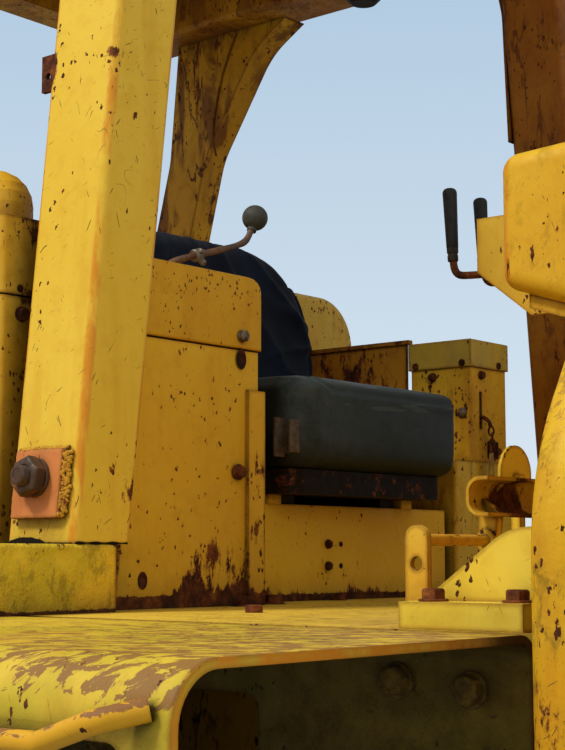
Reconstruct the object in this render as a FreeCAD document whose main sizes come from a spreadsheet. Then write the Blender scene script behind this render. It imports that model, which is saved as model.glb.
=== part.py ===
"""Operator station of a track-type bulldozer: deck, fenders, four-post canopy, seat and controls.

Frame, millimetres: +X forward, +Y left, +Z up. The origin is the centre of the four chassis
bolts, on the plane where the station's feet stand on the machine's main frame.
"""
import FreeCAD
import Part
import Sketcher
import math
import os

Vec = FreeCAD.Vector

# Driving sizes: alias, millimetres or degrees, what it is
SIZES = [
    # Deck, chassis rails and feet
    ("deck_top", 300, "height of the deck above the feet"),
    ("deck_plate", 10, "deck plate thickness"),
    ("deck_half", 1150, "half of the deck's and fenders' length"),
    ("rail_y", 640, "chassis rail centre, each side"),
    ("rail_wide", 110, "chassis rail width"),
    ("rail_wall", 12, "chassis rail wall"),
    ("rail_rear", 1130, "rear end of the rails behind the origin"),
    ("foot_thick", 20, "foot plate thickness"),
    ("foot_size", 190, "foot plate length and width"),
    ("bolt_x", 1400, "chassis bolts, fore and aft"),
    ("bolt_hole", 27, "chassis bolt hole diameter"),
    ("beam_thick", 20, "cross member thickness"),
    # Fenders
    ("fender_plate", 9, "fender plate thickness"),
    ("fender_wall", 910, "outboard face of the fender's inner wall"),
    ("fender_edge", 1441, "outboard face of the fender's lip"),
    ("fender_bend", 20, "inside radius at the inner wall"),
    ("lip_bend", 46, "inside radius at the lip"),
    ("lip_drop", 135, "lip depth below the deck"),
    ("wall_foot", 12, "lower edge of the inner wall"),
    ("hatch_front", 779, "access opening, front end"),
    ("hatch_long", 160, "access opening, length"),
    ("hatch_top", 220, "access opening, upper edge"),
    ("hatch_tall", 165, "access opening, height"),
    ("hatch_round", 25, "access opening, corner radius"),
    ("grab_tube", 20, "grab handle tube diameter"),
    ("grab_front", 1128, "grab handle, front end"),
    ("grab_rear", 650, "grab handle, rear end"),
    ("grab_stand", 30, "grab handle's stand-off from the lip"),
    ("grab_bend", 24, "grab handle bend radius"),
    ("grab_high", 262, "height of the handle's front end"),
    ("grab_fall", 36, "how far the handle falls towards its rear end"),
    ("notch_front", 1098, "hand opening in the lip, front end"),
    ("notch_long", 400, "hand opening in the lip, length"),
    ("notch_top", 233, "hand opening in the lip, upper edge"),
    ("notch_round", 20, "hand opening corner radius"),
    # Canopy posts
    ("post_front", 355, "front face of the front posts"),
    ("post_long", 147, "front post, fore and aft"),
    ("post_wide", 117, "front post at its foot, across"),
    ("post_head_wide", 137, "front post at the rail, across"),
    ("post_base_y", 818, "outer face of the front post at its foot"),
    ("post_top_y", 690, "outer face of the front post at the rail"),
    ("post_round", 16, "front post corner radius"),
    ("tab_long", 30, "drilled tab behind the front post, fore and aft"),
    ("tab_low", 1100, "lower edge of that tab"),
    ("tab_tall", 58, "height of that tab"),
    ("tab_thick", 8, "thickness of that tab"),
    ("tab_hole", 11, "hole in that tab"),
    ("block_tall", 97, "base block height"),
    ("block_inner", 738, "base block, inner end"),
    ("block_outer", 980, "base block, outer end"),
    ("block_over", 5, "base block beyond the post, fore and aft"),
    ("flare_drop", 452, "front post flare, from its start up to the rail"),
    ("flare_long", 44, "front post flare at the rail"),
    ("flare_wide", 60, "front post flare, across"),
    ("flare_round", 400, "front post flare, hollow radius"),
    ("plate_side", 100, "mounting plate on the front post, square"),
    ("plate_low", 432, "lower edge of that plate"),
    ("plate_thick", 14, "thickness of that plate"),
    ("stud_round", 30, "mounting stud diameter"),
    ("stud_long", 30, "mounting stud beyond its plate"),
    ("stud_rise", 8, "mounting stud above the plate's middle"),
    ("nut_wide", 52, "stud nut over its corners"),
    ("nut_tall", 20, "stud nut height"),
    ("washer_round", 57, "stud washer diameter"),
    ("washer_thick", 6, "stud washer thickness"),
    ("rail_under", 1742, "underside of the roof's side rails"),
    ("rail_tall", 105, "roof side rail height"),
    ("rail_thick", 150, "roof side rail width"),
    ("rail_center", 620, "roof side rail centre, each side"),
    ("rail_front", 400, "front end of the roof side rails"),
    ("rail_back", 1040, "rear end of the roof side rails"),
    ("rear_foot_x", 1100, "rear post centre at the deck, behind the origin"),
    ("rear_head_x", 720, "rear post centre at the rail, behind the origin"),
    ("rear_long", 130, "rear post, fore and aft"),
    ("rear_wide", 75, "rear post, across"),
    ("rear_y", 667, "rear post centre, each side"),
    ("rear_round", 12, "rear post corner radius"),
    ("rear_flare_drop", 317, "rear post flares, from their start up to the rail"),
    ("rear_knee_x", 571, "knee of the front flare, behind the origin"),
    ("rear_knee_drop", 62, "knee of the front flare, below the rail"),
    ("rear_flare_front", 465, "front flare at the rail, behind the origin"),
    ("rear_flare_back", 840, "rear flare at the rail, behind the origin"),
    ("rear_flare_round", 210, "rear post flare, hollow radius"),
    ("shoe_thick", 16, "rear post foot plate"),
    ("shoe_long", 230, "rear post foot plate, fore and aft"),
    ("shoe_wide", 180, "rear post foot plate, across"),
    ("roof_half", 800, "half of the roof's width"),
    ("roof_front", 560, "front edge of the roof"),
    ("roof_back", 1080, "rear edge of the roof"),
    ("roof_tall", 70, "roof skirt height"),
    ("roof_round", 45, "roof edge radius"),
    ("beam_tall", 80, "roof cross beam height"),
    ("roof_beam_long", 100, "roof cross beam width"),
    ("lamp_round", 95, "roof lamp diameter"),
    ("lamp_deep", 30, "roof lamp depth below the rail"),
    ("lamp_x", 210, "roof lamp centre behind the origin"),
    # Seat
    ("seat_y", 0, "seat centre, left of the machine's centre"),
    ("cushion_front", 300, "front face of the seat cushion"),
    ("cushion_deep", 425, "seat cushion, fore and aft"),
    ("cushion_wide", 495, "seat cushion width"),
    ("cushion_low", 532, "underside of the seat cushion"),
    ("cushion_tall", 168, "seat cushion thickness"),
    ("cushion_round", 28, "seat cushion corner radius"),
    ("pedestal_front", 200, "front face of the pedestal"),
    ("pedestal_deep", 400, "pedestal, fore and aft"),
    ("pedestal_wide", 680, "pedestal width"),
    ("pedestal_tall", 172, "pedestal height"),
    ("track_tall", 16, "seat slide track height"),
    ("track_wide", 40, "seat slide track width"),
    ("track_y", 150, "seat slide track, off the seat's centre"),
    ("track_play", 0.5, "running gap of the slide"),
    ("pan_wide", 460, "seat pan width"),
    ("pan_deep", 390, "seat pan, fore and aft"),
    ("pan_back", 30, "seat pan's front edge behind the cushion's"),
    ("pan_flange", 12, "seat pan flange thickness"),
    ("soft_gap", 0.4, "gap between soft and hard seat pieces"),
    ("back_wide", 600, "backrest width"),
    ("back_tall", 300, "backrest height"),
    ("back_thick", 105, "backrest thickness"),
    ("back_low", 715, "lower edge of the backrest"),
    ("back_front", 95, "backrest's front face behind the origin, at its foot"),
    ("back_round", 168, "backrest upper corner radius"),
    ("back_soften", 30, "backrest edge radius"),
    ("back_tilt", 6, "backrest lean, degrees"),
    ("arm_thick", 8, "backrest arm thickness"),
    ("arm_wide", 42, "backrest arm width"),
    ("arm_low", 560, "backrest pivot height"),
    ("arm_pivot", 185, "backrest pivot behind the origin"),
    ("pivot_pin", 16, "backrest pivot pin diameter"),
    ("pivot_play", 0.05, "radial play of the backrest pin"),
    ("ear_long", 70, "seat pan ear, fore and aft"),
    ("ear_gap", 1, "gap between ear and backrest arm"),
    # Right console
    ("console_front", 300, "front face of the right console"),
    ("console_deep", 400, "right console, fore and aft"),
    ("console_inner", 355, "inner side of the right console"),
    ("console_outer", 640, "outer side of the right console, at its top"),
    ("console_foot_y", 685, "outer side of the right console, at the deck"),
    ("console_tall", 420, "right console height"),
    ("console_round", 6, "right console corner radius"),
    ("corner_wide", 34, "corner angle width"),
    ("corner_thick", 7, "corner angle thickness"),
    ("cover_tall", 122, "console cover height"),
    ("cover_lap", 3, "console cover beyond the console"),
    ("cover_seam", 3, "seam under the cover"),
    ("cover_round", 32, "console cover corner radius"),
    ("slot_long", 120, "lever slot, fore and aft"),
    ("slot_wide", 46, "lever slot, across"),
    ("slot_deep", 60, "lever slot depth"),
    ("slot_x", 180, "lever slot centre"),
    ("slot_y", 468, "lever slot centre, right of the machine's centre"),
    ("rod_round", 12, "lever rod diameter"),
    ("knob_round", 46, "lever knob diameter"),
    ("knob_x", 200, "lever knob centre"),
    ("knob_y", 252, "lever knob centre, right of the machine's centre"),
    ("knob_z", 979, "lever knob centre, height"),
    ("bend_y", 420, "lever rod's lower bend, right of the machine's centre"),
    ("bend_rise", 39, "lever rod's lower bend above the cover"),
    # Left console and control tower
    ("left_front", 215, "front face of the left console"),
    ("left_inner", 355, "inner side of the left console"),
    ("left_outer", 605, "outer side of the left console"),
    ("left_deep", 515, "left console, fore and aft"),
    ("left_tall", 275, "left console height"),
    ("tower_inner", 415, "inner side of the control tower"),
    ("tower_wide", 138, "control tower width"),
    ("tower_long", 150, "control tower, fore and aft"),
    ("tower_tall", 199, "control tower height"),
    ("tower_wall", 5, "control tower wall"),
    ("tower_slot_tall", 78, "control slot height"),
    ("tower_slot_wide", 9, "control slot width"),
    ("cap_tall", 58, "tower cap height"),
    ("cap_lap", 4, "tower cap beyond the tower"),
    ("rust_front", 52, "front end of the left side plate"),
    ("rust_long", 270, "left side plate, fore and aft"),
    ("rust_thick", 8, "left side plate thickness"),
    ("rust_tall", 267, "left side plate height"),
    ("rust_lip", 10, "left side plate lip beyond its front end"),
    ("rust_lip_tall", 9, "left side plate lip thickness"),
    # Tank and filter
    ("tank_front", 340, "front face of the fuel tank behind the origin"),
    ("tank_deep", 380, "fuel tank, fore and aft"),
    ("tank_half", 745, "half of the fuel tank's width"),
    ("tank_tall", 706, "fuel tank height"),
    ("tank_round", 120, "fuel tank upper corner radius"),
    ("tank_soften", 18, "fuel tank edge radius"),
    ("filler_y", 430, "fuel filler, left of the centre"),
    ("filler_round", 100, "fuel filler cap diameter"),
    ("filler_tall", 42, "fuel filler cap height"),
    ("filter_front", 168, "front face of the filter housing"),
    ("filter_long", 165, "filter housing, fore and aft"),
    ("filter_inner", 686, "inner side of the filter housing"),
    ("filter_wide", 119, "filter housing width"),
    ("filter_tall", 475, "lower filter housing height"),
    ("filter_head", 122, "upper filter housing height"),
    ("filter_seam", 3, "seam in the filter housing"),
    ("filter_round", 14, "filter housing corner radius"),
    ("dome_round", 116, "filter dome diameter"),
    ("dome_tall", 30, "straight height of the filter dome"),
    # Cowl, dash and controls
    ("cowl_gap", 40, "gap between the deck's front end and the cowl"),
    ("cowl_long", 250, "cowl, fore and aft"),
    ("cowl_half", 998, "half of the cowl's width"),
    ("cowl_low", 20, "lower edge of the cowl"),
    ("cowl_shoulder", 469, "height of the cowl's shoulder"),
    ("cowl_top", 1015, "height of the cowl's top"),
    ("cowl_neck", 645, "half width at the cowl's top"),
    ("cowl_shoulder_round", 320, "cowl shoulder radius"),
    ("cowl_neck_round", 90, "cowl top corner radius"),
    ("cowl_soften", 32, "cowl edge radius"),
    ("dash_rear", 757, "rear face of the dash"),
    ("dash_half", 336, "half of the dash's width"),
    ("dash_low", 783, "underside of the dash"),
    ("dash_tall", 202, "dash height at its rear face"),
    ("dash_round", 30, "dash edge radius"),
    ("dash_nose_low", 640, "underside of the dash at the cowl"),
    ("dash_nose_top", 1008, "top of the dash at the cowl"),
    ("tray_rear", 793, "rear end of the tray under the dash"),
    ("tray_thick", 22, "tray under the dash, thickness"),
    ("cheek_rear", 588, "rear end of the lever bracket"),
    ("cheek_top", 943, "upper edge of the lever bracket"),
    ("cheek_low", 770, "lower edge of the lever bracket"),
    ("cheek_right", 130, "right cheek, right of the centre"),
    ("cheek_span", 140, "distance over the two cheeks"),
    ("cheek_thick", 8, "cheek thickness"),
    ("cheek_cut", 102, "chamfer at the cheek's lower corner, fore and aft"),
    ("cheek_cut_tall", 81, "height of that chamfer"),
    ("lever_x", 655, "steering lever pivot"),
    ("lever_z", 850, "steering lever pivot height"),
    ("lever_pin", 18, "steering lever pivot pin diameter"),
    ("lever_hub", 34, "steering lever hub diameter"),
    ("lever_hub_long", 24, "steering lever hub length"),
    ("lever_play", 0.05, "radial play of the lever hub"),
    ("lever_right_y", 104, "right steering lever's hub, right of the centre"),
    ("lever_left_y", 18, "left steering lever's hub, right of the centre"),
    ("lever_splay", 10, "right grip beyond its hub"),
    ("lever_rod", 13, "steering lever rod diameter"),
    ("lever_back", 126, "grip's foot behind the pivot"),
    ("lever_rise", 46, "grip's foot above the pivot"),
    ("lever_lean", 5, "grip top behind the grip's foot"),
    ("grip_long", 113, "grip length"),
    ("grip_top", 25, "grip diameter at its top"),
    ("grip_foot", 17, "grip diameter at its foot"),
    # Pedals and cowl brackets
    ("pedal_x", 872, "brake pedal's rear face"),
    ("pedal_y", 434, "inner end of the brake pedal, right of the centre"),
    ("pedal_wide", 172, "brake pedal width"),
    ("pedal_low", 431, "lower edge of the brake pedal"),
    ("pedal_tall", 52, "brake pedal height"),
    ("pedal_deep", 34, "brake pedal depth"),
    ("pedal_plate", 5, "brake pedal plate"),
    ("pedal_arm", 14, "pedal arm thickness"),
    ("lug_x", 845, "second pedal's face"),
    ("lug_y", 445, "second pedal centre, right of the centre"),
    ("lug_round", 80, "second pedal diameter"),
    ("lug_z", 493, "second pedal centre height"),
    ("fork_x", 883, "pedal bracket centre"),
    ("fork_y", 730, "pedal bracket, right of the centre"),
    ("fork_wide", 34, "pedal bracket width"),
    ("fork_tall", 118, "pedal bracket height"),
    ("fork_thick", 8, "pedal bracket thickness"),
    ("shaft_z", 400, "pedal shaft height"),
    ("shaft_round", 15, "pedal shaft diameter"),
    ("shaft_inner", 410, "inner end of the pedal shaft"),
    ("boss_round", 30, "pedal boss diameter"),
    ("boss_long", 22, "pedal boss length"),
    ("boss_play", 0.2, "radial play of the pedal bosses"),
    ("arm_share", 0.78, "brake pedal's arm, as a share of the pedal's width"),
    ("pad_set", 22, "cowl bracket's foot behind the deck's front end"),
    ("pad_long", 160, "cowl bracket foot, fore and aft"),
    ("pad_outer", 890, "outer side of the cowl bracket's foot"),
    ("pad_wide", 150, "cowl bracket foot width"),
    ("pad_tall", 30, "cowl bracket foot height"),
    ("gusset_y", 830, "cowl bracket plate"),
    ("gusset_tall", 82, "cowl bracket plate height above its foot"),
    ("gusset_thick", 8, "cowl bracket plate thickness"),
    ("gusset_slope", 112, "length of the cowl bracket plate's sloping edge"),
]

doc = FreeCAD.newDocument("operator_station")
sheet = doc.addObject("Spreadsheet::Sheet", "Sizes")
for row, (alias, amount, meaning) in enumerate(SIZES, start=1):
    sheet.set("A%d" % row, alias)
    sheet.set("B%d" % row, str(amount))
    sheet.set("C%d" % row, meaning)
    sheet.setAlias("B%d" % row, alias)
doc.recompute()

NODES = []
COWL_REAR = "($deck_half + $cowl_gap)"
PAD_REAR = "($deck_half - $pad_set - $pad_long)"


def size(alias):
    """The sheet's number for an alias."""
    return float(sheet.get(alias))


def formula(text):
    """An expression that names sheet cells with a leading dollar sign."""
    return text.replace("$", "Sizes.")


def keep(piece, label):
    """Give a finished piece its label and hand it in as a node."""
    piece.Label = label
    NODES.append(piece)
    return piece


def new_body(name):
    return doc.addObject("PartDesign::Body", name)


def plane_of(body, role):
    return [item for item in body.Origin.OriginFeatures if item.Role == role][0]


def sketch_on(body, role, offset=None):
    """A sketch on one of the body's own origin planes, moved along its normal by offset."""
    sketch = body.newObject("Sketcher::SketchObject", body.Name + "_sketch")
    sketch.AttachmentSupport = [(plane_of(body, role), "")]
    sketch.MapMode = "FlatFace"
    if offset is not None:
        sketch.setExpression("AttachmentOffset.Base.z", formula(offset))
    return sketch


def pin_point(sketch, element, end, across, up):
    """Hold a sketch point at two expressions measured from the sketch's origin."""
    for kind, text in (("DistanceX", across), ("DistanceY", up)):
        number = sketch.addConstraint(Sketcher.Constraint(kind, -1, 1, element, end, 1.0))
        sketch.setExpression("Constraints[%d]" % number, formula(text))


def outline(body, role, corners, offset=None):
    """A closed outline of straight sides through corners given as (across, up) expressions."""
    sketch = sketch_on(body, role, offset)
    count = len(corners)
    turn = 2 * math.pi / count
    spots = [Vec(100 * math.cos(i * turn), 100 * math.sin(i * turn), 0) for i in range(count)]
    for i in range(count):
        sketch.addGeometry(Part.LineSegment(spots[i], spots[(i + 1) % count]), False)
    for i in range(count):
        sketch.addConstraint(Sketcher.Constraint("Coincident", i, 2, (i + 1) % count, 1))
    for i, (across, up) in enumerate(corners):
        pin_point(sketch, i, 1, across, up)
    return sketch


def rectangle(body, role, low, high, offset=None):
    """A rectangle between two opposite corners."""
    corners = [low, (high[0], low[1]), high, (low[0], high[1])]
    return outline(body, role, corners, offset)


def circles(body, role, centres, diameter, offset=None):
    """Equal circles at (across, up) expressions."""
    sketch = sketch_on(body, role, offset)
    for i, (across, up) in enumerate(centres):
        sketch.addGeometry(Part.Circle(Vec(i * 50, 0, 0), Vec(0, 0, 1), 5), False)
        pin_point(sketch, i, 3, across, up)
        number = sketch.addConstraint(Sketcher.Constraint("Diameter", i, 10.0))
        sketch.setExpression("Constraints[%d]" % number, formula(diameter))
    return sketch


def pad(body, sketch, length, middle=False, back=False):
    """Extrude a sketch; middle spreads it to both sides, back turns it round."""
    feature = body.newObject("PartDesign::Pad", body.Name + "_pad")
    feature.Profile = sketch
    feature.setExpression("Length", formula(length))
    feature.Midplane = middle
    feature.Reversed = back
    body.Tip = feature
    doc.recompute()
    return feature


def pocket(body, sketch, length, middle=False, back=False):
    """Cut a sketch out of the body, and make sure that it did cut."""
    before = body.Shape.Volume
    feature = body.newObject("PartDesign::Pocket", body.Name + "_pocket")
    feature.Profile = sketch
    feature.setExpression("Length", formula(length))
    feature.Midplane = middle
    feature.Reversed = back
    body.Tip = feature
    doc.recompute()
    if body.Shape.Volume >= before:
        raise RuntimeError(body.Name + ": a pocket removed nothing")
    return feature


def edges_at(feature, sketch, numbers):
    """Names of the straight edges that leave a sketch's corners along its normal."""
    place = sketch.Placement
    normal = place.Rotation.multVec(Vec(0, 0, 1))
    corners = [place.multVec(sketch.Geometry[i].StartPoint) for i in numbers]
    found = []
    for i, edge in enumerate(feature.Shape.Edges, start=1):
        if len(edge.Vertexes) != 2:
            continue
        start = edge.Vertexes[0].Point
        run = edge.Vertexes[1].Point - start
        if run.Length < 1 or abs(abs(run.dot(normal)) - run.Length) > 1e-4:
            continue
        for corner in corners:
            gap = start - corner
            if (gap - normal * gap.dot(normal)).Length < 1e-3:
                found.append("Edge%d" % i)
    return found


def fillet(body, feature, names, radius):
    """Round the named edges of a feature."""
    rounded = body.newObject("PartDesign::Fillet", body.Name + "_fillet")
    rounded.Base = (feature, names)
    rounded.setExpression("Radius", formula(radius))
    body.Tip = rounded
    doc.recompute()
    return rounded


def chamfer(body, feature, names, amount):
    """Bevel the named edges of a feature."""
    bevel = body.newObject("PartDesign::Chamfer", body.Name + "_chamfer")
    bevel.Base = (feature, names)
    bevel.setExpression("Size", formula(amount))
    body.Tip = bevel
    doc.recompute()
    return bevel


def round_corners(body, feature, sketch, numbers, radius):
    """Round the edges that a sketch's corners have drawn out."""
    return fillet(body, feature, edges_at(feature, sketch, numbers), radius)


def face_edges(feature, axis, place):
    """Names of all edges that lie in the plane where coordinate axis equals place."""
    names = []
    for i, edge in enumerate(feature.Shape.Edges, start=1):
        box = edge.BoundBox
        low = (box.XMin, box.YMin, box.ZMin)[axis]
        high = (box.XMax, box.YMax, box.ZMax)[axis]
        if abs(low - place) < 1e-3 and abs(high - place) < 1e-3:
            names.append("Edge%d" % i)
    return names


def upright_edges(feature, least):
    """Names of the edges that rise by more than least, leaning ones too."""
    edges = enumerate(feature.Shape.Edges, start=1)
    return ["Edge%d" % i for i, edge in edges if edge.BoundBox.ZLength > least]


def mirrored(piece, name):
    """The same piece on the other side of the machine's centre plane."""
    twin = doc.addObject("Part::Mirroring", name)
    twin.Source = piece
    twin.Normal = Vec(0, 1, 0)
    doc.recompute()
    return twin


def group(name, pieces):
    """Like pieces of one body that do not touch, as one node."""
    compound = doc.addObject("Part::Compound", name)
    compound.Links = pieces
    doc.recompute()
    return compound


def tube_path(points, radius):
    """A wire of straight runs with a tangent arc of one radius at each inner point."""
    edges = []
    start = points[0]
    for here, after in zip(points[1:-1], points[2:]):
        back = (start - here).normalize()
        ahead = (after - here).normalize()
        half = back.getAngle(ahead) / 2
        reach = radius / math.tan(half)
        first = here + back * reach
        last = here + ahead * reach
        middle = (back + ahead).normalize()
        crown = here + middle * (radius / math.sin(half) - radius)
        edges.append(Part.makeLine(start, first))
        edges.append(Part.Arc(first, crown, last).toShape())
        start = last
    edges.append(Part.makeLine(start, points[-1]))
    return Part.Wire(edges)


def tube(points, radius, diameter):
    """A round bar along such a path."""
    wire = tube_path(points, radius)
    direction = points[1] - points[0]
    ring = Part.Wire(Part.makeCircle(diameter / 2, points[0], direction))
    return wire.makePipeShell([ring], True, False)


def feature_of(name, shape):
    """A computed shape as an object of the document."""
    item = doc.addObject("Part::Feature", name)
    item.Shape = shape
    return item


# Deck, rails, cross members and feet
def make_deck():
    body = new_body("deck")
    edge = "($fender_wall - $fender_plate)"
    sketch = rectangle(body, "XY_Plane", ("-$deck_half", "-" + edge), ("$deck_half", edge),
                       "$deck_top - $deck_plate")
    pad(body, sketch, "$deck_plate")
    keep(body, "floor_deck")


def make_rail():
    """A channel open towards the machine's centre, with its two drilled feet."""
    body = new_body("rail")
    outer = "-($rail_y + $rail_wide / 2)"
    inner = "-($rail_y - $rail_wide / 2)"
    low = "$foot_thick"
    high = "$deck_top - $deck_plate"
    corners = [
        (outer, low), (inner, low), (inner, low + " + $rail_wall"),
        (outer + " + $rail_wall", low + " + $rail_wall"),
        (outer + " + $rail_wall", high + " - $rail_wall"),
        (inner, high + " - $rail_wall"), (inner, high), (outer, high),
    ]
    sketch = outline(body, "YZ_Plane", corners, "-$rail_rear")
    pad(body, sketch, "$rail_rear + " + COWL_REAR)
    half = "$foot_size / 2"
    for sign in ("-", ""):
        middle = sign + "$bolt_x / 2"
        foot = rectangle(body, "XY_Plane", (middle + " - " + half, "-$rail_y - " + half),
                         (middle + " + " + half, "-$rail_y + " + half))
        pad(body, foot, "$foot_thick")
    holes = circles(body, "XY_Plane", [("-$bolt_x / 2", "-$rail_y"), ("$bolt_x / 2", "-$rail_y")],
                    "$bolt_hole")
    pocket(body, holes, "$foot_thick + $rail_wall", back=True)
    keep(body, "frame_rail_right")
    keep(mirrored(body, "rail_twin"), "frame_rail_left")


def make_cross_members():
    """Upright plates between the rails' webs."""
    rears = ["-$rail_rear + $rail_wide", "-$beam_thick / 2", "$deck_half - $rail_wide"]
    low = "$foot_thick + $rail_wall"
    high = "$deck_top - $deck_plate - $rail_wall"
    plates = []
    for i, rear in enumerate(rears):
        body = new_body("cross%d" % i)
        face = rectangle(body, "XZ_Plane", (rear, low), (rear + " + $beam_thick", high))
        pad(body, face, "2 * ($rail_y + $rail_wide / 2 - $rail_wall)", middle=True)
        plates.append(body)
    keep(group("crosses", plates), "frame_crossmembers")


# Fenders and their grab handles
def make_fender():
    """One bent plate: inner wall, flat top and curled lip."""
    body = new_body("fender")
    wall_out = "-$fender_wall"
    wall_in = "-$fender_wall + $fender_plate"
    edge_out = "-$fender_edge"
    edge_in = "-$fender_edge + $fender_plate"
    top = "$deck_top"
    under = "$deck_top - $fender_plate"
    lip = "$deck_top - $lip_drop"
    corners = [
        (wall_in, "$wall_foot"), (wall_in, top), (edge_out, top), (edge_out, lip),
        (edge_in, lip), (edge_in, under), (wall_out, under), (wall_out, "$wall_foot"),
    ]
    sketch = outline(body, "YZ_Plane", corners, "-$deck_half")
    plate = pad(body, sketch, "2 * $deck_half")
    plate = round_corners(body, plate, sketch, [6], "$fender_bend")
    plate = round_corners(body, plate, sketch, [1], "$fender_bend + $fender_plate")
    plate = round_corners(body, plate, sketch, [5], "$lip_bend")
    plate = round_corners(body, plate, sketch, [2], "$lip_bend + $fender_plate")
    hatch = rectangle(body, "XZ_Plane", ("$hatch_front - $hatch_long", "$hatch_top - $hatch_tall"),
                      ("$hatch_front", "$hatch_top"), "$fender_wall")
    cut = pocket(body, hatch, "2 * $fender_plate", middle=True)
    round_corners(body, cut, hatch, [0, 1, 2, 3], "$hatch_round")
    notch = rectangle(body, "XZ_Plane", ("$notch_front - $notch_long", "$deck_top - $lip_drop - 5"),
                      ("$notch_front", "$notch_top"), "$fender_edge")
    cut = pocket(body, notch, "2 * $fender_plate + 10", middle=True)
    round_corners(body, cut, notch, [2, 3], "$notch_round")
    keep(body, "fender_right")
    keep(mirrored(body, "fender_twin"), "fender_left")


def make_grab_handles():
    """A bent tube across the hand opening in each fender's lip."""
    lip_y = -size("fender_edge")
    out_y = lip_y - size("grab_stand")
    front = size("grab_front")
    rear = size("grab_rear")
    high = size("grab_high")
    fall = size("grab_fall")
    low = high - fall
    points = [
        Vec(front, lip_y, high),
        Vec(front - size("grab_stand"), out_y, high - 0.25 * fall),
        Vec(front - 0.2 * (front - rear), out_y, high - 0.85 * fall),
        Vec(rear + size("grab_stand"), out_y, low),
        Vec(rear, lip_y, low),
    ]
    shape = tube(points, size("grab_bend"), size("grab_tube"))
    inboard = Part.makeBox(2 * size("deck_half"), size("fender_edge"), size("deck_top"),
                           Vec(-size("deck_half"), lip_y, 0))
    handle = feature_of("grab", shape.cut(inboard))
    keep(group("grabs", [handle, mirrored(handle, "grab_twin")]), "grab_handles")


# Canopy posts, roof and lamp
def make_front_post():
    """A box post that leans inward, with a drilled tab behind it."""
    body = new_body("post")
    rear = "$post_front - $post_long"
    foot = "$deck_top + $block_tall"
    section = outline(body, "YZ_Plane", [
        ("-$post_base_y", foot), ("-$post_base_y + $post_wide", foot),
        ("-$post_top_y + $post_head_wide", "$rail_under"), ("-$post_top_y", "$rail_under"),
    ], rear)
    post = pad(body, section, "$post_long")
    fillet(body, post, upright_edges(post, size("rail_under") / 2), "$post_round")
    lean = "(($post_base_y - $post_top_y) / ($rail_under - $deck_top - $block_tall))"
    tab_y = "$post_base_y - %s * ($tab_low + $tab_tall / 2 - $deck_top - $block_tall) - $post_round" % lean
    tab = rectangle(body, "XZ_Plane", (rear + " - $tab_long", "$tab_low"),
                    (rear + " + $tab_thick", "$tab_low + $tab_tall"), tab_y)
    pad(body, tab, "$tab_thick", middle=True)
    hole = circles(body, "XZ_Plane", [(rear + " - $tab_long / 2", "$tab_low + 0.42 * $tab_tall")],
                   "$tab_hole", tab_y)
    pocket(body, hole, "2 * $tab_thick", middle=True)
    keep(body, "post_front_right")
    keep(mirrored(body, "post_twin"), "post_front_left")


def make_front_flare():
    """The curved bracket behind each front post's head."""
    body = new_body("flare")
    rear = "$post_front - $post_long"
    centre = "$post_top_y - $post_head_wide / 2"
    corners = [
        (rear, "$rail_under - $flare_drop"), (rear, "$rail_under"), (rear + " - $flare_long", "$rail_under"),
        (rear + " - 0.25 * $flare_long", "$rail_under - 0.35 * $flare_drop"),
    ]
    sketch = outline(body, "XZ_Plane", corners, centre)
    web = pad(body, sketch, "$flare_wide", middle=True)
    round_corners(body, web, sketch, [3], "0.4 * $flare_round")
    keep(group("flares", [body, mirrored(body, "flare_twin")]), "post_flares")


def make_post_blocks():
    """The cast block that each front post stands on."""
    body = new_body("block")
    sketch = rectangle(body, "XY_Plane",
                       ("$post_front - $post_long - $block_over", "-$block_outer"),
                       ("$post_front + $block_over", "-$block_inner"), "$deck_top")
    block = pad(body, sketch, "$block_tall")
    top = face_edges(block, 2, size("deck_top") + size("block_tall"))
    fillet(body, block, top, "$post_round / 2")
    keep(group("blocks", [body, mirrored(body, "block_twin")]), "post_blocks")


def make_post_plates():
    """The mounting plate, stud and nut on the outer face of each front post."""
    post_foot = size("deck_top") + size("block_tall")
    lean = (size("post_base_y") - size("post_top_y")) / (size("rail_under") - post_foot)
    middle_z = size("plate_low") + size("plate_side") / 2
    face_y = -size("post_base_y") + lean * (middle_z - post_foot)
    middle_x = size("post_front") - size("post_long") / 2
    half = size("plate_side") / 2
    thick = size("plate_thick")
    plate = Part.makeBox(2 * half, thick, 2 * half, Vec(-half, -thick, -half))
    outward = Vec(0, -1, 0)
    spot = Vec(0, -thick, size("stud_rise"))
    washer = Part.makeCylinder(size("washer_round") / 2, size("washer_thick"), spot, outward)
    stud = Part.makeCylinder(size("stud_round") / 2, size("stud_long"), spot, outward)
    corner = size("nut_wide") / 2
    angles = [math.radians(60 * i + 20) for i in range(7)]
    ring = Part.makePolygon([Vec(corner * math.cos(a), 0, corner * math.sin(a)) for a in angles])
    nut = Part.Face(ring).extrude(outward * size("nut_tall"))
    nut.translate(spot + outward * size("washer_thick"))
    shape = plate.fuse([washer, stud, nut])
    shape.rotate(Vec(0, 0, 0), Vec(1, 0, 0), -math.degrees(math.atan(lean)))
    shape.translate(Vec(middle_x, face_y, middle_z))
    item = feature_of("stud_plate", shape)
    keep(group("stud_plates", [item, mirrored(item, "stud_plate_twin")]), "post_plates")


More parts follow.
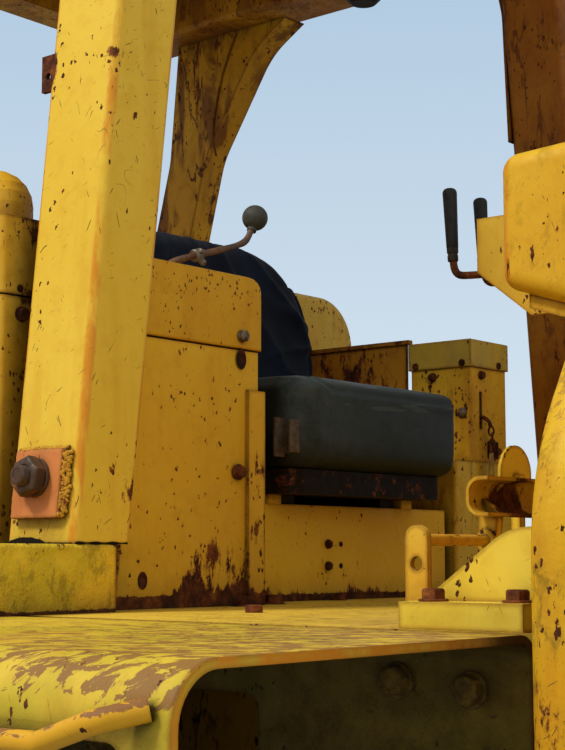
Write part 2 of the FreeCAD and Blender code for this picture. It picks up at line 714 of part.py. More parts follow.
def make_rear_post():
    """A box post that leans forward and flares into the rail with two hollow curves."""
    body = new_body("rear_post")
    half = "$rear_long / 2"
    foot = "$deck_top + $shoe_thick"
    rise = "($rail_under - $deck_top)"
    lean = "(($rear_foot_x - $rear_head_x) / " + rise + ")"
    low = "($rail_under - $rear_flare_drop)"
    at_flare = "-$rear_foot_x + " + lean + " * (" + low + " - $deck_top)"
    at_foot = "-$rear_foot_x + " + lean + " * $shoe_thick"
    corners = [
        (at_foot + " - " + half, foot), (at_foot + " + " + half, foot),
        (at_flare + " + " + half, low), ("-$rear_knee_x", "$rail_under - $rear_knee_drop"),
        ("-$rear_flare_front", "$rail_under"), ("-$rear_flare_back", "$rail_under"),
        (at_flare + " - " + half, low),
    ]
    sketch = outline(body, "XZ_Plane", corners, "$rear_y")
    post = pad(body, sketch, "$rear_wide", middle=True)
    round_corners(body, post, sketch, [2, 3, 6], "$rear_flare_round")
    keep(body, "post_rear_right")
    keep(mirrored(body, "rear_post_twin"), "post_rear_left")


def make_rear_shoes():
    """The bolted plate under each rear post."""
    body = new_body("shoe")
    sketch = rectangle(body, "XY_Plane",
                       ("-$rear_foot_x - $shoe_long / 2 + 0.1 * $shoe_long", "-$rear_y - $shoe_wide / 2"),
                       ("-$rear_foot_x + $shoe_long / 2 + 0.1 * $shoe_long", "-$rear_y + $shoe_wide / 2"),
                       "$deck_top")
    pad(body, sketch, "$shoe_thick")
    keep(group("shoes", [body, mirrored(body, "shoe_twin")]), "post_feet_rear")


def make_roof():
    """Side rails, cross beams and the pressed roof panel."""
    body = new_body("side_rail")
    sketch = rectangle(body, "YZ_Plane", ("-$rail_center - $rail_thick / 2", "$rail_under"),
                       ("-$rail_center + $rail_thick / 2", "$rail_under + $rail_tall"), "-$rail_back")
    rail = pad(body, sketch, "$rail_back + $rail_front")
    round_corners(body, rail, sketch, [0, 1, 2, 3], "$rear_round")
    keep(body, "roof_rail_right")
    keep(mirrored(body, "side_rail_twin"), "roof_rail_left")

    beams = []
    top = "$rail_under + $rail_tall"
    for i, rear in enumerate(["-$rail_back", "$rail_front - $roof_beam_long"]):
        beam = new_body("roof_beam%d" % i)
        face = rectangle(beam, "XZ_Plane", (rear, top + " - $beam_tall"),
                         (rear + " + $roof_beam_long", top))
        pad(beam, face, "2 * $rail_center - $rail_thick", middle=True)
        beams.append(beam)
    keep(group("roof_beams", beams), "roof_crossbeams")

    panel = new_body("roof")
    low = "$rail_under + $rail_tall"
    flat = rectangle(panel, "XY_Plane", ("-$roof_back", "-$roof_half"),
                     ("$roof_front", "$roof_half"), low)
    sheet_pad = pad(panel, flat, "$roof_tall")
    sheet_pad = round_corners(panel, sheet_pad, flat, [0, 1, 2, 3], "1.5 * $roof_round")
    rim = face_edges(sheet_pad, 2, size("rail_under") + size("rail_tall") + size("roof_tall"))
    fillet(panel, sheet_pad, rim, "$roof_round")
    keep(panel, "roof_panel")


def make_lamp():
    """The domed lamp under the left roof rail."""
    body = new_body("lamp")
    sketch = circles(body, "XY_Plane", [("-$lamp_x", "$rail_center")], "$lamp_round", "$rail_under")
    can = pad(body, sketch, "$lamp_deep", back=True)
    rim = face_edges(can, 2, size("rail_under") - size("lamp_deep"))
    chamfer(body, can, rim, "0.6 * $lamp_deep")
    keep(body, "roof_lamp")


# Seat
def make_pedestal():
    body = new_body("pedestal")
    sketch = rectangle(body, "XY_Plane",
                       ("$pedestal_front - $pedestal_deep", "$seat_y - $pedestal_wide / 2"),
                       ("$pedestal_front", "$seat_y + $pedestal_wide / 2"), "$deck_top")
    box = pad(body, sketch, "$pedestal_tall")
    round_corners(body, box, sketch, [0, 1, 2, 3], "$console_round")
    keep(body, "seat_pedestal")


def make_seat_tracks():
    """Two slide tracks bolted on the pedestal."""
    tracks = []
    for i, sign in enumerate(("-", "+")):
        body = new_body("track%d" % i)
        middle = "$seat_y %s $track_y" % sign
        rear = "$pedestal_front - $pedestal_deep + $track_wide / 2"
        base = rectangle(body, "XY_Plane", (rear, middle + " - $track_wide / 2"),
                         ("$pedestal_front - $track_wide / 4", middle + " + $track_wide / 2"),
                         "$deck_top + $pedestal_tall")
        pad(body, base, "$track_tall")
        tracks.append(body)
    keep(group("tracks", tracks), "seat_tracks")


def make_seat_pan():
    """The sliding pan with its two ears for the backrest."""
    body = new_body("pan")
    low = "$deck_top + $pedestal_tall + $track_tall + $track_play"
    high = "$cushion_low - $soft_gap"
    front = "$cushion_front - $pan_back"
    sketch = rectangle(body, "XY_Plane", (front + " - $pan_deep", "$seat_y - $pan_wide / 2"),
                       (front, "$seat_y + $pan_wide / 2"), low)
    box = pad(body, sketch, "(%s) - (%s)" % (high, low))
    box = round_corners(body, box, sketch, [0, 1, 2, 3], "$cushion_round")
    half = "$ear_long / 2"
    tail = rectangle(body, "XY_Plane", ("-$arm_pivot - " + half, "$seat_y - $pan_wide / 2"),
                     (front + " - $pan_deep + $cushion_round", "$seat_y + $pan_wide / 2"), low)
    pad(body, tail, "$pan_flange")
    ear_inner = "$pan_wide / 2 - $arm_thick"
    for sign in ("-", "+"):
        centre = "$seat_y %s (%s + $arm_thick / 2)" % (sign, ear_inner)
        ear = rectangle(body, "XZ_Plane", ("-$arm_pivot - " + half, low),
                        ("-$arm_pivot + " + half, "$arm_low + $pivot_pin"), "-(" + centre + ")")
        pad(body, ear, "$arm_thick", middle=True)
    hole = circles(body, "XZ_Plane", [("-$arm_pivot", "$arm_low")], "$pivot_pin + 2 * $pivot_play",
                   "-$seat_y")
    pocket(body, hole, "$pan_wide + 4", middle=True)
    keep(body, "seat_pan")


def make_cushion():
    """The seat cushion: a deep block with soft corners."""
    body = new_body("cushion")
    sketch = rectangle(body, "XY_Plane",
                       ("$cushion_front - $cushion_deep", "$seat_y - $cushion_wide / 2"),
                       ("$cushion_front", "$seat_y + $cushion_wide / 2"), "$cushion_low")
    block = pad(body, sketch, "$cushion_tall")
    block = round_corners(body, block, sketch, [0, 1, 2, 3], "$cushion_round")
    rim = face_edges(block, 2, size("cushion_low") + size("cushion_tall"))
    rim += face_edges(block, 2, size("cushion_low"))
    chamfer(body, block, rim, "0.5 * $cushion_round")
    keep(body, "seat_cushion")


def tilt(piece):
    """Lean a backrest piece rearward about its pivot."""
    angle = -size("back_tilt")
    pivot = Vec(-size("arm_pivot"), 0, size("arm_low"))
    turn = FreeCAD.Rotation(Vec(0, 1, 0), angle)
    piece.Placement = FreeCAD.Placement(Vec(0, 0, 0), turn, pivot)


def make_backrest():
    """The backrest's arms with their pins, its back plate, and its soft cover."""
    frame = new_body("back_frame")
    plate_front = "-$back_front - $back_thick - $soft_gap"
    half = "$back_wide / 2 - $back_soften"
    plate = rectangle(frame, "YZ_Plane", ("$seat_y - (%s)" % half, "$back_low + $back_soften"),
                      ("$seat_y + " + half, "$back_low + $back_tall - $back_round"),
                      plate_front + " - $arm_thick")
    pad(frame, plate, "$arm_thick")
    outer = "$pan_wide / 2 + $ear_gap"
    low_rear = plate_front + " - $arm_thick"
    for sign in ("-", "+"):
        centre = "-($seat_y %s (%s + $arm_thick / 2))" % (sign, outer)
        corners = [
            ("-$arm_pivot - $arm_wide / 2", "$arm_low - $arm_wide / 2"),
            ("-$arm_pivot + $arm_wide / 2", "$arm_low - $arm_wide / 2"),
            ("-$arm_pivot + $arm_wide / 2", "$back_low - $arm_wide"),
            (plate_front, "$back_low - $arm_wide / 4"),
            (plate_front, "$back_low + $back_tall - $back_round"),
            (low_rear, "$back_low + $back_tall - $back_round"),
            (low_rear, "$back_low"),
            ("-$arm_pivot - $arm_wide / 2", "$back_low - $arm_wide"),
        ]
        arm = outline(frame, "XZ_Plane", corners, centre)
        side = pad(frame, arm, "$arm_thick", middle=True)
        round_corners(frame, side, arm, [0, 1], "0.45 * $arm_wide")
        pin_start = "-($seat_y %s ($pan_wide / 2 - $arm_thick - 4 + $arm_thick / 2))" % sign
        pin = circles(frame, "XZ_Plane", [("-$arm_pivot", "$arm_low")], "$pivot_pin", pin_start)
        pad(frame, pin, "2 * $arm_thick + $ear_gap + 4", middle=True)
    tilt(frame)
    keep(frame, "back_frame")

    cover = new_body("back_cushion")
    corners = [
        ("$seat_y - $back_wide / 2", "$back_low"), ("$seat_y + $back_wide / 2", "$back_low"),
        ("$seat_y + $back_wide / 2", "$back_low + $back_tall"),
        ("$seat_y - $back_wide / 2", "$back_low + $back_tall"),
    ]
    sketch = outline(cover, "YZ_Plane", corners, "-$back_front - $back_thick")
    pillow = pad(cover, sketch, "$back_thick")
    pillow = round_corners(cover, pillow, sketch, [2, 3], "$back_round")
    pillow = round_corners(cover, pillow, sketch, [0, 1], "$back_soften")
    rim = face_edges(pillow, 0, -size("back_front"))
    chamfer(cover, pillow, rim, "0.7 * $back_soften")
    tilt(cover)
    keep(cover, "back_cushion")


# Right console
def make_console():
    """The console beside the seat, whose outer side leans with the post, and its cover."""
    body = new_body("console")
    rear = "$console_front - $console_deep"
    top = "$deck_top + $console_tall - $cover_seam"
    sketch = outline(body, "YZ_Plane", [
        ("-$console_foot_y", "$deck_top"), ("-$console_inner", "$deck_top"),
        ("-$console_inner", top), ("-$console_outer", top),
    ], rear)
    box = pad(body, sketch, "$console_deep")
    fillet(body, box, upright_edges(box, size("console_tall") / 2), "$console_round")
    corner = outline(body, "XY_Plane", [
        ("$console_front - $corner_wide", "-$console_inner - $corner_thick"),
        ("$console_front - $corner_wide", "-$console_inner + $corner_thick"),
        ("$console_front + $corner_thick", "-$console_inner + $corner_thick"),
        ("$console_front + $corner_thick", "-$console_inner - $corner_wide"),
        ("$console_front - $corner_thick", "-$console_inner - $corner_wide"),
        ("$console_front - $corner_thick", "-$console_inner - $corner_thick"),
    ], "$deck_top")
    pad(body, corner, "$console_tall - 2 * $corner_wide")
    neck = rectangle(body, "XY_Plane",
                     (rear + " + $corner_wide / 2", "-$console_outer + $corner_wide / 2"),
                     ("$console_front - $corner_wide / 2", "-$console_inner - $corner_wide / 2"), top)
    pad(body, neck, "$cover_seam")
    keep(body, "console_body")

    cover = new_body("console_cover")
    low = "$deck_top + $console_tall"
    corners = [
        ("-$console_outer - $cover_lap", low), ("-$console_inner + $cover_lap", low),
        ("-$console_inner + $cover_lap", low + " + $cover_tall - 0.1 * $cover_round"),
        ("-$console_inner - $cover_round", low + " + $cover_tall"),
        ("-$console_outer - $cover_lap", low + " + $cover_tall"),
    ]
    sketch = outline(cover, "YZ_Plane", corners, rear + " - $cover_lap")
    lid = pad(cover, sketch, "$console_deep + 2 * $cover_lap")
    lid = round_corners(cover, lid, sketch, [2], "0.8 * $cover_round")
    lid = round_corners(cover, lid, sketch, [4], "$console_round")
    rim = face_edges(lid, 0, size("console_front") + size("cover_lap"))
    fillet(cover, lid, rim, "0.6 * $console_round")
    slot = rectangle(cover, "XY_Plane", ("$slot_x - $slot_long / 2", "-$slot_y - $slot_wide / 2"),
                     ("$slot_x + $slot_long / 2", "-$slot_y + $slot_wide / 2"), low + " + $cover_tall")
    pocket(cover, slot, "$slot_deep")
    keep(cover, "console_cover")


def ball(centre, radius, facets):
    """A ball turned from a profile of equal straight facets."""
    turn = math.pi / facets
    rim = [Vec(radius * math.sin(i * turn), 0, -radius * math.cos(i * turn)) for i in range(facets + 1)]
    face = Part.Face(Part.makePolygon(rim + [rim[0]]))
    turned = face.revolve(Vec(0, 0, 0), Vec(0, 0, 1), 360)
    turned.translate(centre)
    return turned


def make_blade_lever():
    """The bent rod with its ball knob, standing in the console's slot."""
    cover_top = size("deck_top") + size("console_tall") + size("cover_tall")
    base = Vec(size("slot_x"), -size("slot_y"), cover_top - size("slot_deep"))
    knob = Vec(size("knob_x"), -size("knob_y"), size("knob_z"))
    bend = Vec(knob.x, -size("bend_y"), cover_top + size("bend_rise"))
    radius = size("knob_round") / 2
    points = [
        base,
        base + Vec(0, 0, size("slot_deep") + size("rod_round") / 2),
        bend,
        knob + Vec(0, -1.4, -2) * radius,
        knob + Vec(0, -0.4, -0.9) * radius,
        knob,
    ]
    rod = tube(points, 1.3 * size("rod_round"), size("rod_round"))
    along = (points[3] - bend).normalize()
    collar = Part.makeCylinder(size("rod_round"), 1.4 * size("rod_round"), bend + along * 20, along)
    shape = rod.fuse([ball(knob, radius, 8), collar])
    keep(feature_of("blade_lever", shape), "blade_lever")


# Left console
def make_left_console():
    body = new_body("left_console")
    sketch = rectangle(body, "XY_Plane", ("$left_front - $left_deep", "$left_inner"),
                       ("$left_front", "$left_outer"), "$deck_top")
    box = pad(body, sketch, "$left_tall")
    round_corners(body, box, sketch, [0, 1, 2, 3], "$console_round")
    keep(body, "left_console")


def make_tower():
    """The slotted control tower and its cap."""
    body = new_body("tower")
    rear = "$left_front - $tower_long"
    outer = "$tower_inner + $tower_wide"
    low = "$deck_top + $left_tall"
    sketch = rectangle(body, "XY_Plane", (rear, "$tower_inner"), ("$left_front", outer), low)
    box = pad(body, sketch, "$tower_tall")
    round_corners(body, box, sketch, [0, 1, 2, 3], "$console_round / 2")
    inside = rectangle(body, "XY_Plane", (rear + " + $tower_wall", "$tower_inner + $tower_wall"),
                       ("$left_front - $tower_wall", outer + " - $tower_wall"), low + " + $tower_tall")
    pocket(body, inside, "$tower_tall - $tower_wall")
    middle = "$tower_inner + 0.28 * $tower_wide"
    slot = rectangle(body, "YZ_Plane",
                     (middle + " - $tower_slot_wide / 2", low + " + 0.35 * $tower_tall"),
                     (middle + " + $tower_slot_wide / 2", low + " + 0.35 * $tower_tall + $tower_slot_tall"),
                     "$left_front")
    pocket(body, slot, "2 * $tower_wall")
    keep(body, "control_tower")

    cap = new_body("tower_cap")
    cap_low = low + " + $tower_tall"
    cap_face = rectangle(cap, "XY_Plane", (rear + " - $cap_lap", "$tower_inner - $cap_lap"),
                         ("$left_front + $cap_lap", outer + " + $cap_lap"), cap_low)
    lid = pad(cap, cap_face, "$cap_tall")
    rim = face_edges(lid, 2, size("deck_top") + size("left_tall") + size("tower_tall") + size("cap_tall"))
    fillet(cap, lid, rim, "$console_round / 2")
    keep(cap, "tower_cap")


def make_left_side_plate():
    """The rusty upright plate behind the tower, with its lip."""
    body = new_body("side_plate")
    rear = "$rust_front - $rust_long"
    low = "$deck_top + $left_tall"
    sketch = rectangle(body, "XY_Plane", (rear, "$tower_inner"),
                       ("$rust_front", "$tower_inner + $rust_thick"), low)
    pad(body, sketch, "$rust_tall - $rust_lip_tall")
    lip = rectangle(body, "XY_Plane", (rear, "$tower_inner - $rust_lip / 2"),
                    ("$rust_front + $rust_lip", "$tower_inner + $rust_lip"),
                    low + " + $rust_tall - $rust_lip_tall")
    pad(body, lip, "$rust_lip_tall")
    keep(body, "left_side_plate")


# Fuel tank and filter
def make_tank():
    body = new_body("tank")
    rear = "-$tank_front - $tank_deep"
    corners = [
        ("-$tank_half", "$deck_top"), ("$tank_half", "$deck_top"),
        ("$tank_half", "$deck_top + $tank_tall"), ("-$tank_half", "$deck_top + $tank_tall"),
    ]
    sketch = outline(body, "YZ_Plane", corners, rear)
    tank = pad(body, sketch, "$tank_deep")
    tank = round_corners(body, tank, sketch, [2, 3], "$tank_round")
    rims = face_edges(tank, 0, -size("tank_front"))
    rims += face_edges(tank, 0, -size("tank_front") - size("tank_deep"))
    low = [name for name in face_edges(tank, 2, size("deck_top")) if name in rims]
    fillet(body, tank, [name for name in rims if name not in low], "$tank_soften")
    keep(body, "fuel_tank")

    cap = new_body("filler")
    face = circles(cap, "XY_Plane", [("-$tank_front - $tank_deep / 2", "$filler_y")], "$filler_round",
                   "$deck_top + $tank_tall")
    lid = pad(cap, face, "$filler_tall")
    rim = face_edges(lid, 2, size("deck_top") + size("tank_tall") + size("filler_tall"))
    chamfer(cap, lid, rim, "$filler_tall / 5")
    keep(cap, "tank_filler_cap")


def make_filter():
    """The filter housing behind the right front post, in two parts with a domed head."""
    rear = "$filter_front - $filter_long"
    low_corner = (rear, "-$filter_inner - $filter_wide")
    high_corner = ("$filter_front", "-$filter_inner")
    body = new_body("filter")
    sketch = rectangle(body, "XY_Plane", low_corner, high_corner, "$deck_top")
    box = pad(body, sketch, "$filter_tall")
    round_corners(body, box, sketch, [0, 1, 2, 3], "$filter_round")
    keep(body, "filter_housing")

    head = new_body("filter_head")
    base = "$deck_top + $filter_tall + $filter_seam"
    face = rectangle(head, "XY_Plane", low_corner, high_corner, base)
    upper = pad(head, face, "$filter_head")
    upper = round_corners(head, upper, face, [0, 1, 2, 3], "$filter_round")
    top = base + " + $filter_head"
    profile = [("0", top), ("$dome_round / 2", top)]
    for degrees in (0, 18, 36, 54, 72):
        across = "%.4f * $dome_round / 2" % math.cos(math.radians(degrees))
        rise = "%.4f * $dome_round / 2" % math.sin(math.radians(degrees))
        profile.append((across, top + " + $dome_tall + " + rise))
    profile.append(("0", top + " + $dome_tall + $dome_round / 2"))
    section = outline(head, "XZ_Plane", profile, "$filter_inner + $filter_wide / 2")
    section.setExpression("AttachmentOffset.Base.x", formula(rear + " + $filter_long / 2"))
    dome = head.newObject("PartDesign::Revolution", "dome")
    dome.Profile = section
    dome.ReferenceAxis = (section, ["V_Axis"])
    dome.Angle = 360
    head.Tip = dome
    doc.recompute()
    neck = rectangle(head, "XY_Plane", (rear + " + 20", "-$filter_inner - $filter_wide + 20"),
                     ("$filter_front - 20", "-$filter_inner - 20"), "$deck_top + $filter_tall")
    pad(head, neck, "$filter_seam")
    keep(head, "filter_head")


# Cowl, dash and steering levers
def make_cowl():
    body = new_body("cowl")
    corners = [
        ("-$cowl_half", "$cowl_low"), ("$cowl_half", "$cowl_low"),
        ("$cowl_half", "$cowl_shoulder"), ("$cowl_neck", "$cowl_top"),
        ("-$cowl_neck", "$cowl_top"), ("-$cowl_half", "$cowl_shoulder"),
    ]
    sketch = outline(body, "YZ_Plane", corners, COWL_REAR)
    shell = pad(body, sketch, "$cowl_long")
    shell = round_corners(body, shell, sketch, [2, 5], "$cowl_shoulder_round")
    shell = round_corners(body, shell, sketch, [3, 4], "$cowl_neck_round")
    rims = face_edges(shell, 0, size("deck_half") + size("cowl_gap"))
    low = face_edges(shell, 2, size("cowl_low"))
    fillet(body, shell, [name for name in rims if name not in low], "$cowl_soften")
    keep(body, "cowl")


def make_dash():
    """The dash deepens towards the cowl; a thin tray hangs under it."""
    body = new_body("dash")
    sketch = outline(body, "XZ_Plane", [
        ("$dash_rear", "$dash_low"), (COWL_REAR, "$dash_nose_low"),
        (COWL_REAR, "$dash_nose_top"), ("$dash_rear", "$dash_low + $dash_tall"),
    ])
    box = pad(body, sketch, "2 * $dash_half", middle=True)
    box = round_corners(body, box, sketch, [0, 3], "$dash_round")
    joined = face_edges(box, 0, size("deck_half") + size("cowl_gap"))
    rims = face_edges(box, 1, -size("dash_half")) + face_edges(box, 1, size("dash_half"))
    fillet(body, box, [name for name in rims if name not in joined], "0.9 * $dash_round")
    fall = "(($dash_low - $dash_nose_low) / (%s - $dash_rear))" % COWL_REAR
    under = "$dash_low - %s * ($tray_rear - $dash_rear)" % fall
    tray = outline(body, "XZ_Plane", [
        ("$tray_rear", under + " - $tray_thick"), (COWL_REAR, "$dash_nose_low - $tray_thick"),
        (COWL_REAR, "$dash_nose_low + 1"), ("$tray_rear", under + " + 1"),
    ])
    pad(body, tray, "2 * $dash_half - 2 * $dash_round", middle=True)
    keep(body, "dash")


def make_lever_bracket():
    """Two cheeks behind the dash with the pin that carries the steering levers."""
    body = new_body("bracket")
    for start in ("$cheek_right - $cheek_thick", "$cheek_right - $cheek_span"):
        corners = [
            ("$cheek_rear", "$cheek_low + $cheek_cut_tall"), ("$cheek_rear + $cheek_cut", "$cheek_low"),
            ("$dash_rear", "$cheek_low"), ("$dash_rear", "$cheek_top"), ("$cheek_rear", "$cheek_top"),
        ]
        cheek = outline(body, "XZ_Plane", corners, start)
        pad(body, cheek, "$cheek_thick")
    back = rectangle(body, "YZ_Plane", ("-$cheek_right", "$cheek_low"),
                     ("$cheek_span - $cheek_right", "$cheek_top"), "$dash_rear - $cheek_thick")
    pad(body, back, "$cheek_thick")
    pin = circles(body, "XZ_Plane", [("$lever_x", "$lever_z")], "$lever_pin",
                  "$cheek_right - $cheek_span")
    pad(body, pin, "$cheek_span")
    keep(body, "lever_bracket")


def make_steering_lever(name, label, centre_y, splay):
    """A hub on the pin, a rod bent upward and a tapered grip."""
    pivot = Vec(size("lever_x"), centre_y, size("lever_z"))
    half = size("lever_hub_long") / 2
    along = Vec(0, 1, 0)
    hub = Part.makeCylinder(size("lever_hub") / 2, 2 * half, pivot - along * half, along)
    foot = pivot + Vec(-size("lever_back"), -splay, size("lever_rise"))
    lean = Vec(-size("lever_lean"), 0, size("grip_long"))
    upward = Vec(lean.x, lean.y, lean.z).normalize()
    points = [pivot + Vec(-size("lever_hub") * 0.3, 0, 0), foot - upward * 40, foot + upward * 6]
    rod = tube(points, 26, size("lever_rod"))
    crown = size("grip_top") / 2
    grip_long = size("grip_long") - crown / 2
    grip = Part.makeCone(size("grip_foot") / 2, crown, grip_long, foot, upward)
    end = Part.makeCone(crown, crown * 0.6, crown / 2, foot + upward * grip_long, upward)
    bore = Part.makeCylinder(size("lever_pin") / 2 + size("lever_play"), 4 * half,
                             pivot - along * 2 * half, along)
    shape = hub.fuse([rod, grip, end]).cut(bore)
    keep(feature_of(name, shape), label)


def make_steering_levers():
    make_steering_lever("lever_r", "steering_lever_right", -size("lever_right_y"), size("lever_splay"))
    make_steering_lever("lever_l", "steering_lever_left", -size("lever_left_y"), 0)


# Pedals and cowl brackets
def hang_on_shaft(body, centre):
    """A bored boss round the pedal shaft."""
    spot = [("$fork_x", "$shaft_z")]
    pad(body, circles(body, "XZ_Plane", spot, "$boss_round", centre), "$boss_long", middle=True)
    bore = circles(body, "XZ_Plane", spot, "$shaft_round + 2 * $boss_play", centre)
    pocket(body, bore, "2 * $boss_long", middle=True)


def make_pedals():
    """The brake pedal's curved channel, the round pedal beside it, and their arms."""
    body = new_body("pedal")
    corners = [
        ("$pedal_x + $pedal_deep", "$pedal_low"), ("$pedal_x", "$pedal_low"),
        ("$pedal_x", "$pedal_low + $pedal_tall"),
        ("$pedal_x + $pedal_deep", "$pedal_low + $pedal_tall"),
        ("$pedal_x + $pedal_deep", "$pedal_low + $pedal_tall - $pedal_plate"),
        ("$pedal_x + $pedal_plate", "$pedal_low + $pedal_tall - $pedal_plate"),
        ("$pedal_x + $pedal_plate", "$pedal_low + $pedal_plate"),
        ("$pedal_x + $pedal_deep", "$pedal_low + $pedal_plate"),
    ]
    sketch = outline(body, "XZ_Plane", corners, "$pedal_y")
    channel = pad(body, sketch, "$pedal_wide")
    channel = round_corners(body, channel, sketch, [1, 2], "0.4 * $pedal_tall")
    round_corners(body, channel, sketch, [5, 6], "0.4 * $pedal_tall - $pedal_plate")
    arm = outline(body, "XZ_Plane", [
        ("$fork_x - $pedal_arm", "$shaft_z"), ("$fork_x + $pedal_arm", "$shaft_z"),
        ("$pedal_x + $pedal_deep - $pedal_plate", "$pedal_low + $pedal_plate"),
        ("$pedal_x + $pedal_plate / 2", "$pedal_low + $pedal_tall / 2"),
    ], "$pedal_y + $arm_share * $pedal_wide")
    pad(body, arm, "$pedal_arm", middle=True)
    hang_on_shaft(body, "$pedal_y + $arm_share * $pedal_wide")
    keep(body, "brake_pedal")

    lug = new_body("lug")
    disc = circles(lug, "YZ_Plane", [("-$lug_y", "$lug_z")], "$lug_round", "$lug_x")
    pad(lug, disc, "$pedal_plate")
    stem = outline(lug, "YZ_Plane", [
        ("-$lug_y - $pedal_arm / 2", "$shaft_z"), ("-$lug_y + $pedal_arm / 2", "$shaft_z"),
        ("-$lug_y + $pedal_arm / 2", "$lug_z"), ("-$lug_y - $pedal_arm / 2", "$lug_z"),
    ], "$lug_x")
    pad(lug, stem, "$pedal_arm")
    foot = rectangle(lug, "YZ_Plane", ("-$lug_y - $pedal_arm / 2", "$shaft_z"),
                     ("-$lug_y + $pedal_arm / 2", "$shaft_z + $pedal_arm"), "$lug_x")
    pad(lug, foot, "$fork_x - $lug_x")
    hang_on_shaft(lug, "$lug_y")
    keep(lug, "round_pedal")


def make_pedal_bracket():
    """Two drilled uprights and the shaft between them."""
    body = new_body("fork")
    half = "$fork_wide / 2"
    shaft = circles(body, "XZ_Plane", [("$fork_x", "$shaft_z")], "$shaft_round", "$shaft_inner")
    pad(body, shaft, "$fork_y - $shaft_inner")
    for start in ("$fork_y - $fork_thick / 2", "$shaft_inner"):
        upright = rectangle(body, "XZ_Plane", ("$fork_x - " + half, "$deck_top"),
                            ("$fork_x + " + half, "$deck_top + $fork_tall"), start)
        plate = pad(body, upright, "$fork_thick", back=False)
        round_corners(body, plate, upright, [2, 3], "0.48 * $fork_wide")
    eye = circles(body, "XZ_Plane", [("$fork_x", "$deck_top + 0.6 * $fork_tall")], "0.52 * $fork_wide",
                  "$fork_y - $fork_thick / 2")
    pocket(body, eye, "4 * $fork_thick", middle=True)
    keep(body, "pedal_bracket")


def make_cowl_brackets():
    """The bolted foot and sloped plate that brace the cowl to the deck, on both sides."""
    body = new_body("gusset")
    foot = rectangle(body, "XY_Plane", (PAD_REAR, "-$pad_outer"),
                     (PAD_REAR + " + $pad_long", "-$pad_outer + $pad_wide"), "$deck_top")
    pad(body, foot, "$pad_tall")
    top = "$deck_top + $pad_tall + $gusset_tall"
    web = outline(body, "XZ_Plane", [
        (PAD_REAR, "$deck_top + $pad_tall - 1"), (COWL_REAR, "$deck_top + $pad_tall - 1"),
        (COWL_REAR, top), (PAD_REAR + " + $gusset_slope", top),
        (PAD_REAR, "$deck_top + $pad_tall + 2"),
    ], "$gusset_y")
    plate = pad(body, web, "$gusset_thick")
    round_corners(body, plate, web, [3], "$gusset_tall")
    keep(group("gussets", [body, mirrored(body, "gusset_twin")]), "cowl_brackets")


for maker in (
    make_deck, make_rail, make_cross_members, make_fender, make_grab_handles, make_front_post,
    make_front_flare, make_post_blocks, make_post_plates, make_rear_post, make_rear_shoes, make_roof,
    make_lamp, make_pedestal, make_seat_tracks, make_seat_pan, make_cushion, make_backrest,
    make_console, make_blade_lever, make_left_console, make_tower, make_left_side_plate, make_tank,
    make_filter, make_cowl, make_dash, make_lever_bracket, make_steering_levers, make_pedals,
    make_pedal_bracket, make_cowl_brackets,
):
    maker()

doc.recompute()
for item in doc.Objects:
    if "Invalid" in item.State or "Error" in item.State:
        raise RuntimeError("%s failed: %s" % (item.Name, item.State))

os.makedirs("parts", exist_ok=True)
for node in NODES:
    if node.Shape.isNull() or not node.Shape.isValid():
        raise RuntimeError(node.Label + " has no valid shape")
    node.Shape.exportStep("parts/%s.step" % node.Label)
    box = node.Shape.BoundBox
    print("%-22s %2d solids %9.0f cm3  x %7.1f %7.1f  y %7.1f %7.1f  z %7.1f %7.1f" % (
        node.Label, len(node.Shape.Solids), node.Shape.Volume / 1000,
        box.XMin, box.XMax, box.YMin, box.YMax, box.ZMin, box.ZMax))
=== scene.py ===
"""Looks for the bulldozer operator station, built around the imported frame.

Metres, in the frame of the CAD: +X forward, +Y to the operator's left, +Z up.
"""
from math import atan, atan2, copysign, cos, exp, hypot, pi, radians, sin
import bmesh
import bpy
from mathutils import Matrix, Vector
from mathutils.noise import noise, noise_vector


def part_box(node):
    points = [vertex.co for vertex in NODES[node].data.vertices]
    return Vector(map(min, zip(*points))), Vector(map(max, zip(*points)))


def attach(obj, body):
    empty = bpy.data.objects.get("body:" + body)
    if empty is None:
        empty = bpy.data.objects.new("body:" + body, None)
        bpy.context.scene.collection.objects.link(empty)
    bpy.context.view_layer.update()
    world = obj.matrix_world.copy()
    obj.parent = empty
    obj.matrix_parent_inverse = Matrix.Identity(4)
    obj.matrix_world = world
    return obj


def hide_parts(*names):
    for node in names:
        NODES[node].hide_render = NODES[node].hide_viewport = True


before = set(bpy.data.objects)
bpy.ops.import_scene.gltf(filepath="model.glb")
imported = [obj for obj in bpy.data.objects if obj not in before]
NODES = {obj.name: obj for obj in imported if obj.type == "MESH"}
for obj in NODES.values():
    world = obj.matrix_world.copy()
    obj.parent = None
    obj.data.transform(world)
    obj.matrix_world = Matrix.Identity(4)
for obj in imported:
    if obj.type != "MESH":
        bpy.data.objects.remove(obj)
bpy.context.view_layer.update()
scene = bpy.context.scene

# Camera of the photograph
CAMERA_AT = (2.0, -2.32, 0.38)
HEADING = (-0.643, 0.766)
PITCH = radians(6.6)
LENS = 75.12
SENSOR = 36.0

# Lamps: place, aim, width, power in watts, colour
LAMPS = {"key": ((-1.6, -5.6, 7.0), (0.1, 0.0, 0.8), 1.6, 560, (1.0, 0.96, 0.88)),
         "front": ((7.0, -3.0, 3.0), (0.2, 0.0, 0.8), 4.0, 105, (1.0, 0.98, 0.95))}

# Sky: its even light, and what the camera sees by height over the horizon
SKY_LIGHT = (0.93, 0.97, 1.0)
SKY_STRENGTH = 0.56
SKY_STOPS = [(0.02, (0.7, 0.8, 0.88)), (0.36, (0.44, 0.59, 0.75))]

# Floor: half its width and how far it lies under the feet
FLOOR_REACH = 40.0
FLOOR_DROP = 0.002

